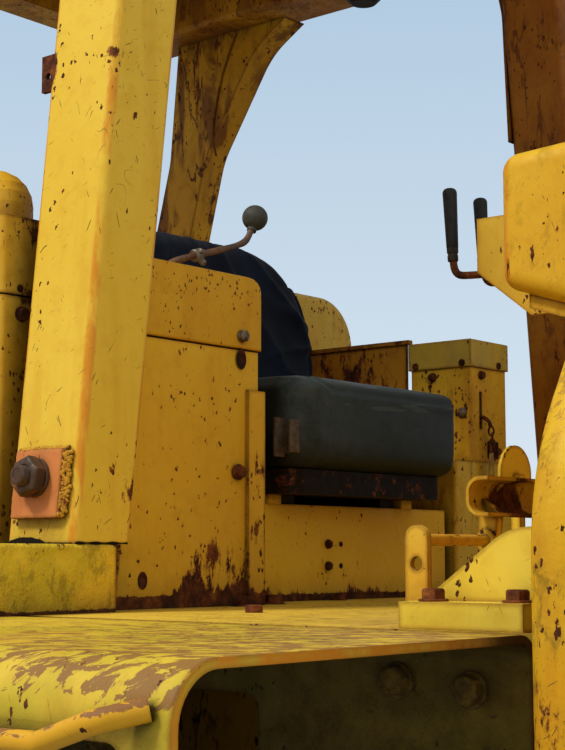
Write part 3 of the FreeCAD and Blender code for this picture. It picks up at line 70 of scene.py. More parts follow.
# Directions
AHEAD = (1, 0, 0)
BACK = (-1, 0, 0)
RIGHT = (0, -1, 0)
UP = (0, 0, 1)
BOTH_SIDES = (-1, 1)


# Faces of the CAD that small pieces sit on: tops, fronts, right sides and a rear
def lowest(node):
    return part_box(node)[0]


def highest(node):
    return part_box(node)[1]


DECK = highest("floor_deck").z
PAD = DECK + 0.03
SHOE = highest("post_feet_rear").z
COVER_FRONT = highest("console_cover").x
PEDESTAL_FACE = highest("seat_pedestal").x + 0.0002
PEDESTAL_ROWS = (0.362, 0.402)
FILTER_FRONT = highest("filter_housing").x
TOWER_FRONT = highest("control_tower").x
TOWER_SIDE = lowest("control_tower").y
CAP_FRONT = highest("tower_cap").x
CAP_SIDE = lowest("tower_cap").y
DASH_REAR = lowest("dash").x

# A front post's outer face from foot to rail: y and z at the foot, y and z at the rail
POST_LINE = (0.818, 0.397, 0.69, 1.742)

# The plate on each post: x, height along the face, half its side, thickness
PLATE = (0.2815, 0.0855, 0.05, 0.014)

# Linear colours
YELLOW = (0.72, 0.42, 0.026)
PALE_YELLOW = (0.76, 0.51, 0.055)
OCHRE = (0.52, 0.25, 0.014)
ORANGE = (0.62, 0.23, 0.012)
GREEN_YELLOW = (0.36, 0.32, 0.012)
OLIVE = (0.085, 0.06, 0.01)
# Grime colour, also used as painted shade in hollows
GRIME_AND_SHADE = (0.034, 0.019, 0.006)
PURPLE_BROWN = (0.215, 0.088, 0.034)
SALMON = (0.6, 0.205, 0.06)
RUST_HALO = (0.22, 0.062, 0.01)
RUST = [(0.3, (0.022, 0.006, 0.003)), (0.47, (0.07, 0.019, 0.007)),
        (0.6, (0.17, 0.048, 0.012)), (0.76, (0.36, 0.125, 0.026))]

# Roughness of sound film and of rusty spots in it, specular level of all but bare metal, and a small
# piece's edge radius
FILM_ROUGH = 0.42
BARE_ROUGH = 0.88
DULL_SHINE = 0.16
SMALL_EDGE = 0.0008

# Short scratches: fineness across and turn of the grain
SCRATCHES = ((480, (0, 0.4, 0.8)), (420, (0, -0.25, 0.9)), (560, (0, 0.95, 0.7)))

# Chips: cells in a metre, size, share of the cells, how tall
CHIPS = ((46, 0.26, 0.42, 1.8), (118, 0.38, 0.6, 1.4))

# Band along a foot, of rust that also paints the shade of the gap there: where it fades out and is full, over
# the seam, and its weight
SEAM_BANDS = ((0.024, 0.0, 0.26), (0.005, -0.006, 0.7))

# Places of a colour Mix node's factor, colours and result
MIX_INPUTS = (0, 6, 7)
MIX_RESULT = 2


# Materials
class Graph:
    """Short calls for the nodes of a material or a world."""

    def __init__(self, owner):
        self.owner = owner
        owner.use_nodes = True
        self.tree = owner.node_tree
        self.tree.nodes.clear()
        self.here = self.add("TexCoord").outputs["Object"]
        self.place = self.here

    def put(self, socket, value):
        if value is None:
            return
        if isinstance(value, bpy.types.NodeSocket):
            self.tree.links.new(value, socket)
        elif socket.type == "RGBA" and len(value) == 3:
            socket.default_value = (*value, 1.0)
        else:
            socket.default_value = value

    def add(self, kind, settings=None, **values):
        node = self.tree.nodes.new("ShaderNode" + kind)
        for key, value in (settings or {}).items():
            setattr(node, key, value)
        for key, value in values.items():
            self.put(node.inputs[key.replace("_", " ")], value)
        return node

    def fill(self, node, *values):
        """Sets a node's inputs in their order."""
        for socket, value in zip(node.inputs, values):
            self.put(socket, value)
        return node

    def math(self, kind, a, b=None):
        return self.fill(self.add("Math", {"operation": kind}), a, b).outputs[0]

    def vector(self, kind, a, b=None):
        node = self.add("VectorMath", {"operation": kind})
        self.put(node.inputs[0], a)
        self.put(node.inputs["Scale" if kind == "SCALE" else 1], b)
        return node

    def fold(self, kind, values):
        """One socket out of several sockets or numbers."""
        result = values[0]
        for value in values[1:]:
            result = self.math(kind, result, value)
        return result

    def total(self, values):
        return self.fold("ADD", values)

    def product(self, values):
        return self.fold("MULTIPLY", values)

    def most(self, values):
        return self.fold("MAXIMUM", values)

    def mix(self, share, a, b):
        node = self.add("Mix", {"data_type": "RGBA"})
        for place, value in zip(MIX_INPUTS, (share, a, b)):
            self.put(node.inputs[place], value)
        return node.outputs[MIX_RESULT]

    def noise(self, scale, detail, rough, place=None, warp=0.0):
        """Noise at one scale, or at three scales, one for each axis."""
        if isinstance(scale, tuple):
            place, scale = self.mapped(scale), 1.0
        return self.add("TexNoise", Scale=scale, Detail=detail, Roughness=rough, Distortion=warp,
                        Vector=place or self.place).outputs[0]

    def step(self, value, low, high, share=1.0):
        """0 below low and share above high, with a smooth step between."""
        node = self.add("MapRange", {"interpolation_type": "SMOOTHSTEP"})
        return self.fill(node, value, low, high, 0.0, share).outputs[0]

    def layers(self, colour, rows):
        """Colours laid over one another. A row is value, start and end of its step, share, colour."""
        for value, low, high, share, other in rows:
            colour = self.mix(self.step(value, low, high, share), colour, other)
        return colour

    def ramp(self, value, stops):
        node = self.add("ValToRGB", Fac=value)
        while len(node.color_ramp.elements) < len(stops):
            node.color_ramp.elements.new(0.5)
        for element, (place, colour) in zip(node.color_ramp.elements, stops):
            element.position = place
            element.color = (*colour, 1.0)
        return node.outputs[0]

    def mapped(self, scale=(1, 1, 1), turn=(0, 0, 0), shift=(0, 0, 0)):
        node = self.add("Mapping", Location=shift, Rotation=turn, Scale=scale, Vector=self.place)
        return node.outputs[0]

    def grained(self, scale, turn):
        """Places whose axes are first turned and then stretched, for lines in any direction."""
        turned_by = self.add("Mapping", {"vector_type": "TEXTURE"}, Rotation=turn, Vector=self.place)
        return self.add("Mapping", Scale=scale, Vector=turned_by.outputs[0]).outputs[0]

    def near(self, centre, reach):
        """1 at a point of the frame and 0 beyond reach of it."""
        gap = self.vector("DISTANCE", self.here, centre).outputs["Value"]
        return self.step(gap, reach, 0.0)

    def axis(self, name):
        return self.add("SeparateXYZ", Vector=self.here).outputs[name]

    def edge(self, radius):
        """Near 0 on a flat face and up to 0.3 at its edges."""
        bent = self.add("Bevel", {"samples": 3}, Radius=radius).outputs[0]
        flat = self.add("NewGeometry").outputs["True Normal"]
        return self.math("SUBTRACT", 1.0, self.vector("DOT_PRODUCT", bent, flat).outputs["Value"])

    def facing(self):
        """The three parts of the surface's normal."""
        return self.add("SeparateXYZ", Vector=self.add("NewGeometry").outputs["Normal"]).outputs

    def corner(self):
        """Rounded upright corners, whose normals lie between two axes."""
        normal = self.facing()
        return self.step(self.math("ABSOLUTE", self.product([normal["X"], normal["Y"]])), 0.1, 0.44)

    def contour(self, value, wide):
        """A thin line where a field passes its middle value."""
        gap = self.math("ABSOLUTE", self.math("SUBTRACT", value, 0.5))
        return self.step(gap, wide, 0.3 * wide)

    def dots(self, scale, size, share, tall):
        """Ragged spots of uneven size, in a share of the cells of a grid, more of them in places."""
        place = self.mapped(scale=(1, 1, 1 / tall))
        wobble = self.add("TexNoise", Scale=1.9 * scale, Detail=3.0, Roughness=0.6, Vector=place).outputs[1]
        wobble = self.vector("SUBTRACT", wobble, (0.5, 0.5, 0.5)).outputs[0]
        wobble = self.vector("SCALE", wobble, 1.1 / scale).outputs[0]
        place = self.vector("ADD", place, wobble).outputs[0]
        cell = self.add("TexVoronoi", Scale=scale, Vector=place)
        luck = self.add("SeparateColor", Color=cell.outputs["Color"]).outputs[0]
        crowd = self.step(self.noise(7.0, 3, 0.5), 0.36, 0.62, 0.5)
        luck = self.math("ADD", self.math("SUBTRACT", luck, 0.25), crowd)
        radius = self.step(luck, 1 - share, 1.15, size)
        return self.step(self.math("SUBTRACT", radius, cell.outputs["Distance"]), 0.0, 0.03)

    def finish(self, colour, rough, height=None, depth=None, strength=None, metal=None, soften=0.0025,
               sheen=None):
        """Ends in a shader: height makes a bump, and soften rounds the edges by that radius."""
        normal = self.add("Bevel", {"samples": 2}, Radius=soften).outputs[0] if soften else None
        if height is not None:
            bump = self.add("Bump", Strength=strength, Distance=depth, Height=height, Normal=normal)
            normal = bump.outputs[0]
        shader = self.add("BsdfPrincipled", Base_Color=colour, Roughness=rough, Metallic=metal, Normal=normal,
                          Sheen_Weight=sheen, Specular_IOR_Level=None if metal else DULL_SHINE)
        self.fill(self.add("OutputMaterial"), shader.outputs[0])
        return self.owner


def new_graph(name):
    return Graph(bpy.data.materials.new(name))


# Old machine paint, layer by layer
def flakes(g):
    """Broad flaked-off streaks, mostly on faces that look up and lie far forward."""
    return g.total([g.noise(1.0, 5, 0.7, g.grained((26, 62, 40), (0, 0, 0.5)), 0.5),
                    g.step(g.axis("X"), 0.3, 1.05, 0.11), g.step(g.facing()["Z"], 0.05, 0.7, 0.17)])


def scratch_lines(g):
    """Hairlines, and short scratches in three directions."""
    hair = g.contour(g.noise(9.0, 1, 0.4, warp=0.6), 0.0025)
    cuts = [g.step(g.noise(1.0, 1, 0.4, g.grained((fineness, 40, 40), turn)), 0.755, 0.785)
            for fineness, turn in SCRATCHES]
    return g.most([g.product([hair, g.step(g.noise(26, 1, 0.4), 0.6, 0.63)])] + cuts)


def rust_field(g, edge, rusted):
    """How near each spot is to rusting through, from noise, edges and the given places."""
    ragged = g.product([g.math("SUBTRACT", g.noise((52, 52, 20), 5, 0.76), 0.5), 1.3])
    return g.total([g.noise(6.0, 6, 0.66, warp=0.3), g.product([edge, 1.25])] + rusted + [ragged])


def run_marks(g):
    """Broad upright stains, and thin wandering lines of rust."""
    broad = g.step(g.noise((11, 11, 3.6), 5, 0.66, warp=0.5), 0.49, 0.6, 0.8)
    wander = g.noise((8, 8, 2.0), 5, 0.62, warp=0.3)
    line = g.product([g.contour(wander, 0.02), g.step(g.noise(5.0, 4, 0.7), 0.44, 0.54)])
    return broad, line


def paint(name, main=YELLOW, pale=PALE_YELLOW, deep=OCHRE, worn=ORANGE, chips=0.5, rust=0.0, edges=0.5,
          scratches=0.5, dirt=0.7, reach=0.12, runs=0.0, seam=None, marks=(), streaks=0.0, moss=0.0,
          lumps=0.0, stains=0.0, corners=0.0, cut_end=None, seed=0.0):
    """Old machine paint in four colours. Most numbers say how much of a thing there is.

    reach is how far dirt and painted shade spread from where the form closes in, marks are (x, y, z, reach,
    weight) of rust, seam is the height of a band of rust and painted gap shade along a foot, and a plate's
    end is bare beyond x = cut_end.
    """
    g = new_graph(name)
    rusted = [g.product([g.near(centre, far), weight]) for *centre, far, weight in marks]
    # A rust band along the foot, which also paints the shade of the gap under it
    if seam:
        rusted += [g.step(g.axis("Z"), seam + none, seam + full, weight) for none, full, weight in SEAM_BANDS]
    g.place = g.mapped(shift=(seed, -seed, 0.37 * seed))
    fine = g.noise(34, 4, 0.62)
    edge = g.edge(0.01)

    # Film, rubbed edges and corners, growth, stains, flakes and scratches
    rubbed = g.total([g.product([edge, 3.2 * edges]), g.product([fine, 0.5])])
    colour = g.layers(main, [
        (g.noise(2.1, 5, 0.55), 0.38, 0.62, 1.0, pale),
        (g.noise((15, 15, 1.9), 5, 0.62), 0.48, 0.72, 0.45, deep),
        (fine, 0.45, 0.8, 0.4, deep),
        (rubbed, 0.42, 0.78, 0.85, worn)])
    if corners:
        worn_off = g.noise((26, 26, 7), 4, 0.66)
        turned_edge = g.product([g.corner(), corners])
        colour = g.mix(g.product([turned_edge, g.step(worn_off, 0.36, 0.58)]), colour, worn)
    if moss:
        colour = g.layers(colour, [(g.noise(7, 5, 0.62), 0.4, 0.6, moss, GREEN_YELLOW)])
    if stains:
        colour = g.layers(colour, [(g.noise((34, 34, 20), 5, 0.74, warp=0.3), 0.5, 0.66, stains, OLIVE)])
    if streaks:
        colour = g.layers(colour, [(flakes(g), 0.755, 0.785, streaks, PURPLE_BROWN)])
    colour = g.mix(g.product([scratch_lines(g), scratches]), colour, OLIVE)

    # Rust in patches, along edges, in chips and in runs
    heat = rust_field(g, g.product([edge, edges]), rusted)
    bar = 0.94 - 0.32 * rust
    patch = g.step(heat, bar, bar + 0.02)
    chipped = [g.dots(scale, size, share * chips, tall) for scale, size, share, tall in CHIPS]
    if corners:
        chipped.append(g.product([g.step(worn_off, 0.6, 0.64), g.step(turned_edge, 0.3, 0.6)]))
    if runs:
        broad, line = run_marks(g)
        colour = g.mix(g.product([broad, runs]), colour, deep)
        patch = g.most([patch, g.product([line, runs])])
    colour = g.layers(colour, [(heat, bar - 0.09, bar + 0.01, 0.65, RUST_HALO)])
    bare = g.most([patch] + chipped)
    colour = g.mix(bare, colour, g.ramp(g.noise(46, 4, 0.68), RUST))
    if cut_end:
        end = g.product([g.step(g.axis("X"), cut_end, cut_end + 0.001), g.step(fine, 0.25, 0.6)])
        colour = g.mix(end, colour, ORANGE)

    # Dirt and painted shade where the form closes in
    cover = g.add("AmbientOcclusion", {"samples": 4}, Distance=reach).outputs["AO"]
    closed = g.math("ADD", g.step(cover, 0.8, 0.22), g.product([g.math("SUBTRACT", fine, 0.5), 0.5]))
    colour = g.mix(g.product([g.step(closed, 0.1, 0.8), dirt]), colour, GRIME_AND_SHADE)
    film = g.math("ADD", FILM_ROUGH, g.step(fine, 0.3, 0.8, 0.25))
    rough = g.math("MAXIMUM", film, g.product([bare, BARE_ROUGH]))
    rise = [g.product([fine, 0.6]), g.product([g.noise(110, 2, 0.6), 0.25])]
    if lumps:
        rise.append(g.product([g.noise(42, 4, 0.7), 2.6 * lumps]))
    return g.finish(colour, rough, g.total(rise), depth=0.0011, strength=0.8)


# Plain finishes
def metal(name, colour, other, rough=0.5, metallic=0.0, scale=60, bump=0.4, seed=0.0, rust=0.0):
    """Steel with a mottled tone and, where asked, rust over it."""
    g = new_graph(name)
    g.place = g.mapped(shift=(seed, seed, -seed))
    tone = g.noise(scale, 4, 0.65)
    tint = g.layers(colour, [(tone, 0.35, 0.65, 1.0, other)])
    if rust:
        level = g.math("ADD", g.noise(scale * 0.35, 5, 0.7), rust)
        tint = g.layers(tint, [(level, 0.7, 0.78, 1.0, g.ramp(g.noise(scale, 4, 0.68), RUST))])
    shade = g.math("ADD", rough, g.step(tone, 0.3, 0.8, 0.25))
    return g.finish(tint, shade, tone, 0.0006, bump, metallic, SMALL_EDGE)


def rusty(name, seed=0.0, light=1.0):
    """Solid rust from near black to orange."""
    g = new_graph(name)
    g.place = g.mapped(shift=(seed, -seed, seed))
    stops = [(place, tuple(light * c for c in colour)) for place, colour in RUST]
    tone = g.ramp(g.noise(38, 5, 0.7), stops)
    return g.finish(tone, 0.82, g.noise(150, 3, 0.7), 0.0008, 0.9, soften=SMALL_EDGE)


def vinyl(name):
    """Worn dark vinyl: fine grain, a dusty bloom, light scuffs, darker towards the bottom, and painted shade
    on the right side near the front.
    """
    g = new_graph(name)
    bloom = g.noise(7, 6, 0.6)
    grain = g.add("TexVoronoi", Scale=520.0, Vector=g.place).outputs["Distance"]
    dust = g.product([g.step(g.axis("Y"), -0.02, -0.2), g.step(g.noise(30, 5, 0.6), 0.35, 0.7), 0.45])
    scuff = g.noise(1.0, 2, 0.5, g.mapped((9, 9, 70), (0.9, 0.2, 0)))
    # Painted shade: the right side face near the front goes near black
    painted_side_shade = g.product([g.step(g.axis("X"), 0.272, 0.235), g.step(g.axis("Y"), -0.19, -0.22, 0.8)])
    tone = g.layers((0.015, 0.023, 0.023), [(bloom, 0.32, 0.68, 1.0, (0.037, 0.052, 0.051))])
    tone = g.layers(g.mix(dust, tone, (0.08, 0.095, 0.085)), [
        (g.noise(210, 3, 0.5), 0.62, 0.72, 0.3, (0.12, 0.13, 0.12)),
        (scuff, 0.66, 0.72, 0.35, (0.11, 0.13, 0.12)),
        (g.axis("Z"), 0.59, 0.545, 0.75, (0.019, 0.021, 0.017))])
    tone = g.mix(painted_side_shade, tone, (0.004, 0.004, 0.003))
    rough = g.math("ADD", 0.38, g.step(bloom, 0.3, 0.7, 0.22))
    rise = g.math("ADD", g.product([grain, 0.5]), g.product([g.noise(26, 4, 0.5), 0.9]))
    return g.finish(tone, rough, rise, 0.0012, 0.32, soften=0)


def cloth(name):
    """Navy workwear cloth with a twill weave, lint and a faded, mottled tone."""
    g = new_graph(name)
    weave = g.add("TexWave", {"wave_type": "BANDS", "bands_direction": "DIAGONAL"}, Scale=340.0,
                  Distortion=1.2, Vector=g.place).outputs["Fac"]
    tone = g.layers((0.0016, 0.0034, 0.008), [
        (g.noise(7, 6, 0.6), 0.35, 0.7, 1.0, (0.0045, 0.01, 0.023)),
        (g.noise(160, 4, 0.6), 0.69, 0.77, 0.3, (0.05, 0.055, 0.06))])
    tone = g.mix(g.product([weave, 0.22]), tone, (0.01, 0.021, 0.044))
    rise = g.math("ADD", g.product([weave, 0.4]), g.noise(90, 4, 0.6))
    return g.finish(tone, 0.88, rise, 0.0009, 0.5, soften=0, sheen=0.03)


RUSTY = rusty("rust")
DARK_RUST = rusty("dark_rust", 3.0, 0.45)
PALE_STEEL = metal("pale_steel", (0.2, 0.18, 0.14), (0.1, 0.07, 0.045), 0.42, 0.5, rust=0.12, seed=1.7)
PAINTED_STEEL = metal("painted_steel", (0.19, 0.115, 0.018), (0.085, 0.05, 0.014), 0.6, rust=0.06, seed=3.7)
BLACK_STEEL = metal("black_steel", (0.013, 0.011, 0.009), (0.028, 0.021, 0.014), 0.5, rust=0.1, seed=2.3)
RUBBER = metal("grip_rubber", (0.012, 0.012, 0.012), (0.022, 0.021, 0.02), 0.42, scale=90, bump=0.15)
KNOB = metal("knob_plastic", (0.04, 0.045, 0.038), (0.06, 0.063, 0.052), 0.46, scale=70, bump=0.12, seed=5.0)
VINYL = vinyl("seat_vinyl")
CLOTH = cloth("cover_cloth")


# Camera, floor and light
def new_object(name, data):
    thing = bpy.data.objects.new(name, data)
    scene.collection.objects.link(thing)
    return thing


def aim(thing, at, along):
    """Puts a camera or a lamp at a place and points it along a direction."""
    thing.location = at
    thing.rotation_mode = "QUATERNION"
    thing.rotation_quaternion = Vector(along).to_track_quat("-Z", "Y")


def make_camera():
    data = bpy.data.cameras.new("camera")
    data.lens = LENS
    data.sensor_width = SENSOR
    scene.camera = new_object("camera", data)
    level = cos(PITCH)
    aim(scene.camera, CAMERA_AT, (HEADING[0] * level, HEADING[1] * level, sin(PITCH)))


def make_floor():
    mesh = bpy.data.meshes.new("floor")
    corners = [(x * FLOOR_REACH, y * FLOOR_REACH, 0) for x, y in ((-1, -1), (1, -1), (1, 1), (-1, 1))]
    mesh.from_pydata(corners, [], [(0, 1, 2, 3)])
    floor = new_object("floor", mesh)
    floor.location.z = -FLOOR_DROP
    g = new_graph("floor")
    tone = g.mix(g.noise(0.8, 3, 0.5), (0.29, 0.29, 0.28), (0.34, 0.34, 0.33))
    mesh.materials.append(g.finish(tone, 0.9, soften=0))


def make_lamp(name, at, target, width, power, colour):
    data = bpy.data.lights.new(name, "AREA")
    data.size = width
    data.energy = power
    data.color = colour
    aim(new_object(name, data), at, Vector(target) - Vector(at))


def make_world():
    """A pale blue sky that the camera sees, and an even light for everything else."""
    scene.world = bpy.data.worlds.new("sky")
    g = Graph(scene.world)
    lit = g.add("Background", Color=SKY_LIGHT, Strength=SKY_STRENGTH)
    height = g.add("SeparateXYZ", Vector=g.add("TexCoord").outputs["Generated"]).outputs["Z"]
    seen = g.add("Background", Color=g.ramp(height, SKY_STOPS))
    by_camera = g.add("LightPath").outputs["Is Camera Ray"]
    mixer = g.fill(g.add("MixShader"), by_camera, lit.outputs[0], seen.outputs[0])
    g.fill(g.add("OutputWorld"), mixer.outputs[0])


make_camera()
make_floor()
make_world()
for lamp_name, lamp in LAMPS.items():
    make_lamp(lamp_name, *lamp)
scene.view_settings.view_transform = "Standard"


# Materials of the CAD nodes
def dress(names, material):
    for name in names.split():
        mesh = NODES[name].data
        mesh.materials.clear()
        mesh.materials.append(material)


def coat(names, label, *tones, **looks):
    """One old paint on CAD nodes. Its tones are main, pale and deep."""
    dress(names, paint(label + "_paint", *tones, **looks))


coat("post_front_right", "post", (0.72, 0.46, 0.034), (0.74, 0.5, 0.048), (0.6, 0.31, 0.016), chips=0.15,
     edges=1.0, corners=0.9, scratches=0.9, seed=1.3,
     marks=((0.186, -0.74, 1.13, 0.06, 2.2), (0.352, -0.705, 0.47, 0.06, 0.45),
            (0.355, -0.722, 1.33, 0.03, 0.45), (0.35, -0.742, 1.13, 0.026, 0.45)))
# Painted shade: the left post and the flares are painted dark brown, with rust and runs over it
coat("post_front_left post_flares", "shaded_post", (0.27, 0.085, 0.008), (0.36, 0.14, 0.012),
     (0.15, 0.038, 0.005), worn=(0.38, 0.12, 0.01), rust=0.45, edges=0.6, runs=0.7, scratches=0.4,
     seed=21.3)
coat("console_body", "console", (0.66, 0.37, 0.02), (0.68, 0.42, 0.028), (0.54, 0.27, 0.013), chips=0.9,
     edges=0.6, corners=0.5, seam=0.318, scratches=0.3, seed=4.1,
     marks=((0.3, -0.475, 0.32, 0.12, 0.3), (0.3, -0.4, 0.32, 0.07, 0.3),
            (0.3, -0.525, 0.33, 0.06, 0.26), (0.3, -0.486, 0.4, 0.07, 0.22),
            (0.3, -0.44, 0.395, 0.05, 0.2), (0.305, -0.358, 0.42, 0.11, 0.3),
            (0.305, -0.358, 0.52, 0.06, 0.38), (0.305, -0.358, 0.68, 0.09, 0.22)))
coat("console_cover", "cover", (0.58, 0.31, 0.015), (0.61, 0.36, 0.022), (0.48, 0.23, 0.01), chips=0.8,
     edges=0.6, scratches=0.3, seed=31.1)
coat("left_console", "left", OCHRE, chips=0.9, rust=0.3, edges=0.7, runs=0.4, seed=41.1)
coat("seat_pedestal", "pedestal", (0.88, 0.54, 0.02), (0.88, 0.6, 0.034), (0.8, 0.44, 0.016), chips=0.9,
     rust=0.1, edges=0.7, seam=0.31, seed=7.7,
     marks=((0.2, -0.25, 0.31, 0.1, 0.28), (0.2, 0.05, 0.31, 0.12, 0.28)))
# Dirt and painted shade reach far here, so the wall under each fender's top is painted dark
coat("fender_right fender_left", "fender", (0.62, 0.4, 0.03), (0.66, 0.46, 0.04), (0.44, 0.24, 0.016),
     chips=0.3, rust=0.05, edges=1.4, dirt=0.97, reach=0.6, streaks=0.85, moss=0.45, cut_end=1.1488,
     seed=2.9)
coat("floor_deck", "deck", (0.6, 0.4, 0.034), deep=(0.42, 0.24, 0.02), chips=0.4, streaks=0.5, seed=52.9)
coat("post_blocks", "block", (0.76, 0.46, 0.02), (0.78, 0.56, 0.034), moss=0.5, rust=0.2, edges=1.6,
     chips=0.45, lumps=3.5, stains=0.45, dirt=0.95, seam=0.304, seed=5.5)
coat("roof_rail_right roof_rail_left roof_crossbeams roof_panel", "roof", (0.34, 0.14, 0.01),
     (0.52, 0.28, 0.016), (0.14, 0.04, 0.006), rust=0.6, edges=0.7, runs=0.6, dirt=0.9, seed=8.8)
# The rear posts are darker brown than the other paint: partly rust and runs, partly painted shade under the
# roof
coat("post_rear_right post_rear_left", "rear_post", (0.5, 0.25, 0.008), (0.68, 0.4, 0.013),
     (0.125, 0.032, 0.004), worn=(0.14, 0.035, 0.005), rust=0.32, edges=1.0, runs=0.95, seed=3.3)
coat("frame_rail_right frame_rail_left frame_crossmembers post_feet_rear", "frame", OCHRE, YELLOW, rust=0.7,
     edges=0.8, runs=0.8, dirt=0.95, seed=6.1)
coat("cowl", "cowl", (0.7, 0.33, 0.011), (0.78, 0.48, 0.018), (0.46, 0.16, 0.009), rust=0.05, edges=0.6,
     scratches=1.0, moss=0.15, stains=0.55, lumps=0.5, streaks=0.5, seed=9.2,
     marks=((1.19, -0.985, 0.48, 0.09, 0.3), (1.2, -0.99, 0.23, 0.15, 0.3)))
coat("dash", "dash", (0.66, 0.36, 0.016), (0.72, 0.44, 0.026), chips=0.3, edges=1.6, corners=1.0,
     scratches=0.6, stains=0.25, dirt=0.9, seed=10.4)
coat("lever_bracket", "cheek", (0.58, 0.31, 0.016), chips=0.8, rust=0.1, edges=0.7, seed=61.8)
coat("cowl_brackets round_pedal", "bracket", (0.84, 0.58, 0.04), (0.86, 0.64, 0.07), (0.66, 0.4, 0.02),
     chips=0.2, edges=1.1, dirt=0.4, seed=11.8)
pedal_low, pedal_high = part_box("brake_pedal")
pedal_middle = tuple((pedal_low + pedal_high) / 2 + Vector((0.0, 0.0, 0.012)))
coat("brake_pedal", "pedal", (0.7, 0.44, 0.028), chips=0.6, edges=1.1, seed=17.8,
     marks=(pedal_middle + (0.085, 0.9),))
coat("pedal_bracket", "fork", (0.66, 0.32, 0.016), chips=1.0, rust=0.35, edges=1.4, seed=71.8)
coat("control_tower", "tower", (0.68, 0.34, 0.015), (0.72, 0.42, 0.024), (0.46, 0.19, 0.008), rust=0.3,
     edges=1.0, chips=0.7, scratches=1.0, runs=0.3, seed=12.6)
coat("tower_cap", "cap", (0.62, 0.38, 0.02), (0.56, 0.38, 0.05), (0.3, 0.21, 0.07), rust=0.35, edges=1.0,
     seed=82.6)
coat("left_side_plate", "side_plate", (0.4, 0.135, 0.012), (0.5, 0.22, 0.014), (0.15, 0.05, 0.014),
     rust=1.12, edges=1.2, seed=13.1)
coat("fuel_tank tank_filler_cap", "tank", (0.54, 0.32, 0.03), (0.58, 0.38, 0.05), rust=0.1, edges=0.6,
     runs=0.3, seed=14.9)
coat("filter_housing filter_head", "filter", (0.66, 0.37, 0.02), deep=(0.42, 0.19, 0.01), chips=1.0,
     rust=0.3, edges=1.2, runs=0.2, seed=94.9,
     marks=((0.165, -0.745, 0.905, 0.09, 0.45), (0.165, -0.745, 0.775, 0.05, 0.5)))
coat("grab_handles", "handle", (0.66, 0.34, 0.016), rust=0.35, edges=0.2, streaks=0.9, seed=16.6)
dress("seat_tracks roof_lamp back_frame", BLACK_STEEL)
dress("seat_pan", metal("pan_steel", (0.005, 0.004, 0.003), (0.013, 0.006, 0.003), 0.6, rust=0.16, seed=9.3))


# Mesh helpers
def finish_mesh(name, bm, material, body="station", shading="angle"):
    """Turn a bmesh into a piece that rides on a body. shading is angle, smooth or flat."""
    bmesh.ops.recalc_face_normals(bm, faces=bm.faces)
    mesh = bpy.data.meshes.new(name)
    bm.to_mesh(mesh)
    bm.free()
    if shading != "flat":
        mesh.shade_smooth()
    if shading == "angle":
        mesh.set_sharp_from_angle(angle=radians(38))
    mesh.materials.append(material)
    piece = new_object(name, mesh)
    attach(piece, body)
    return piece


def standing(at, normal, spin=0.0):
    """The matrix that puts a shape's Z axis on a surface's normal."""
    turn = Vector(normal).to_track_quat("Z", "Y").to_matrix().to_4x4()
    return Matrix.Translation(at) @ turn @ Matrix.Rotation(spin, 4, "Z")


def circle(count):
    return [2 * pi * i / count for i in range(count)]


def skin(bm, rings):
    """Faces between neighbouring rings of points, and a cap at either end."""
    count = len(rings[0])
    for near, far in zip(rings, rings[1:]):
        for i in range(count):
            bm.faces.new((near[i], near[(i + 1) % count], far[(i + 1) % count], far[i]))
    bm.faces.new(rings[0])
    bm.faces.new(rings[-1])


def turned(bm, profile, matrix, count=24):
    """A closed turned shape. A profile point is radius, height and, if it isn't round, how hexagonal."""
    rings = []
    for radius, height, *rest in profile:
        hexagonal = rest[0] if rest else 0
        ring = []
        for angle in circle(count):
            flat = cos(pi / 6) / cos(angle % (pi / 3) - pi / 6)
            reach = radius * (1 + hexagonal * (flat / cos(pi / 6) - 1))
            spot = Vector((reach * cos(angle), reach * sin(angle), height))
            ring.append(bm.verts.new(matrix @ spot))
        rings.append(ring)
    skin(bm, rings)


def add_bolt(bm, at, normal, across, tall, washer=0.0, spin=0.3, domed=False):
    """A bolt head, hexagonal or domed, with a washer under it."""
    matrix = standing(at, normal, spin)
    base = -0.001
    if washer:
        thick = 0.003
        turned(bm, [(washer / 2, base), (washer / 2, thick * 0.7), (washer / 2 - 0.001, thick),
                    (across / 4, thick)], matrix)
        base = thick * 0.8
    half = across / 2
    if domed:
        slopes = [radians(degrees) for degrees in (0, 15, 30, 45, 60, 75, 86)]
        profile = [(half * cos(a), base + tall * sin(a)) for a in slopes]
    else:
        profile = [(half, base, 1), (half, base + tall * 0.8, 1), (half * 0.985, base + tall * 0.93, 0.45),
                   (half * 0.9, base + tall), (half * 0.62, base + tall), (half * 0.58, base + tall * 0.94)]
    turned(bm, profile, matrix)


def smooth_path(points, steps):
    """Points along a Catmull-Rom line through the given ones, with so many steps between two of them."""
    spots = [Vector(p) for p in points]
    spots = [spots[0] * 2 - spots[1]] + spots + [spots[-1] * 2 - spots[-2]]
    path = []
    for a, b, c, d in zip(spots, spots[1:], spots[2:], spots[3:]):
        for i in range(steps):
            t = i / steps
            path.append(0.5 * ((2 * b) + (c - a) * t + (2 * a - 5 * b + 4 * c - d) * t * t
                               + (3 * b - a - 3 * c + d) * t ** 3))
    path.append(spots[-2])
    return path


def swept(bm, path, radius, count):
    """A closed tube along a path. radius is a number or a function of the share of the path."""
    side = None
    rings = []
    for i, spot in enumerate(path):
        ahead = path[min(i + 1, len(path) - 1)] - path[max(i - 1, 0)]
        ahead.normalize()
        if side is None:
            side = ahead.orthogonal().normalized()
        side = (side - ahead * side.dot(ahead)).normalized()
        other = ahead.cross(side)
        share = i / (len(path) - 1)
        reach = radius(share) if callable(radius) else radius
        rings.append([bm.verts.new(spot + side * reach * cos(a) + other * reach * sin(a))
                      for a in circle(count)])
    skin(bm, rings)


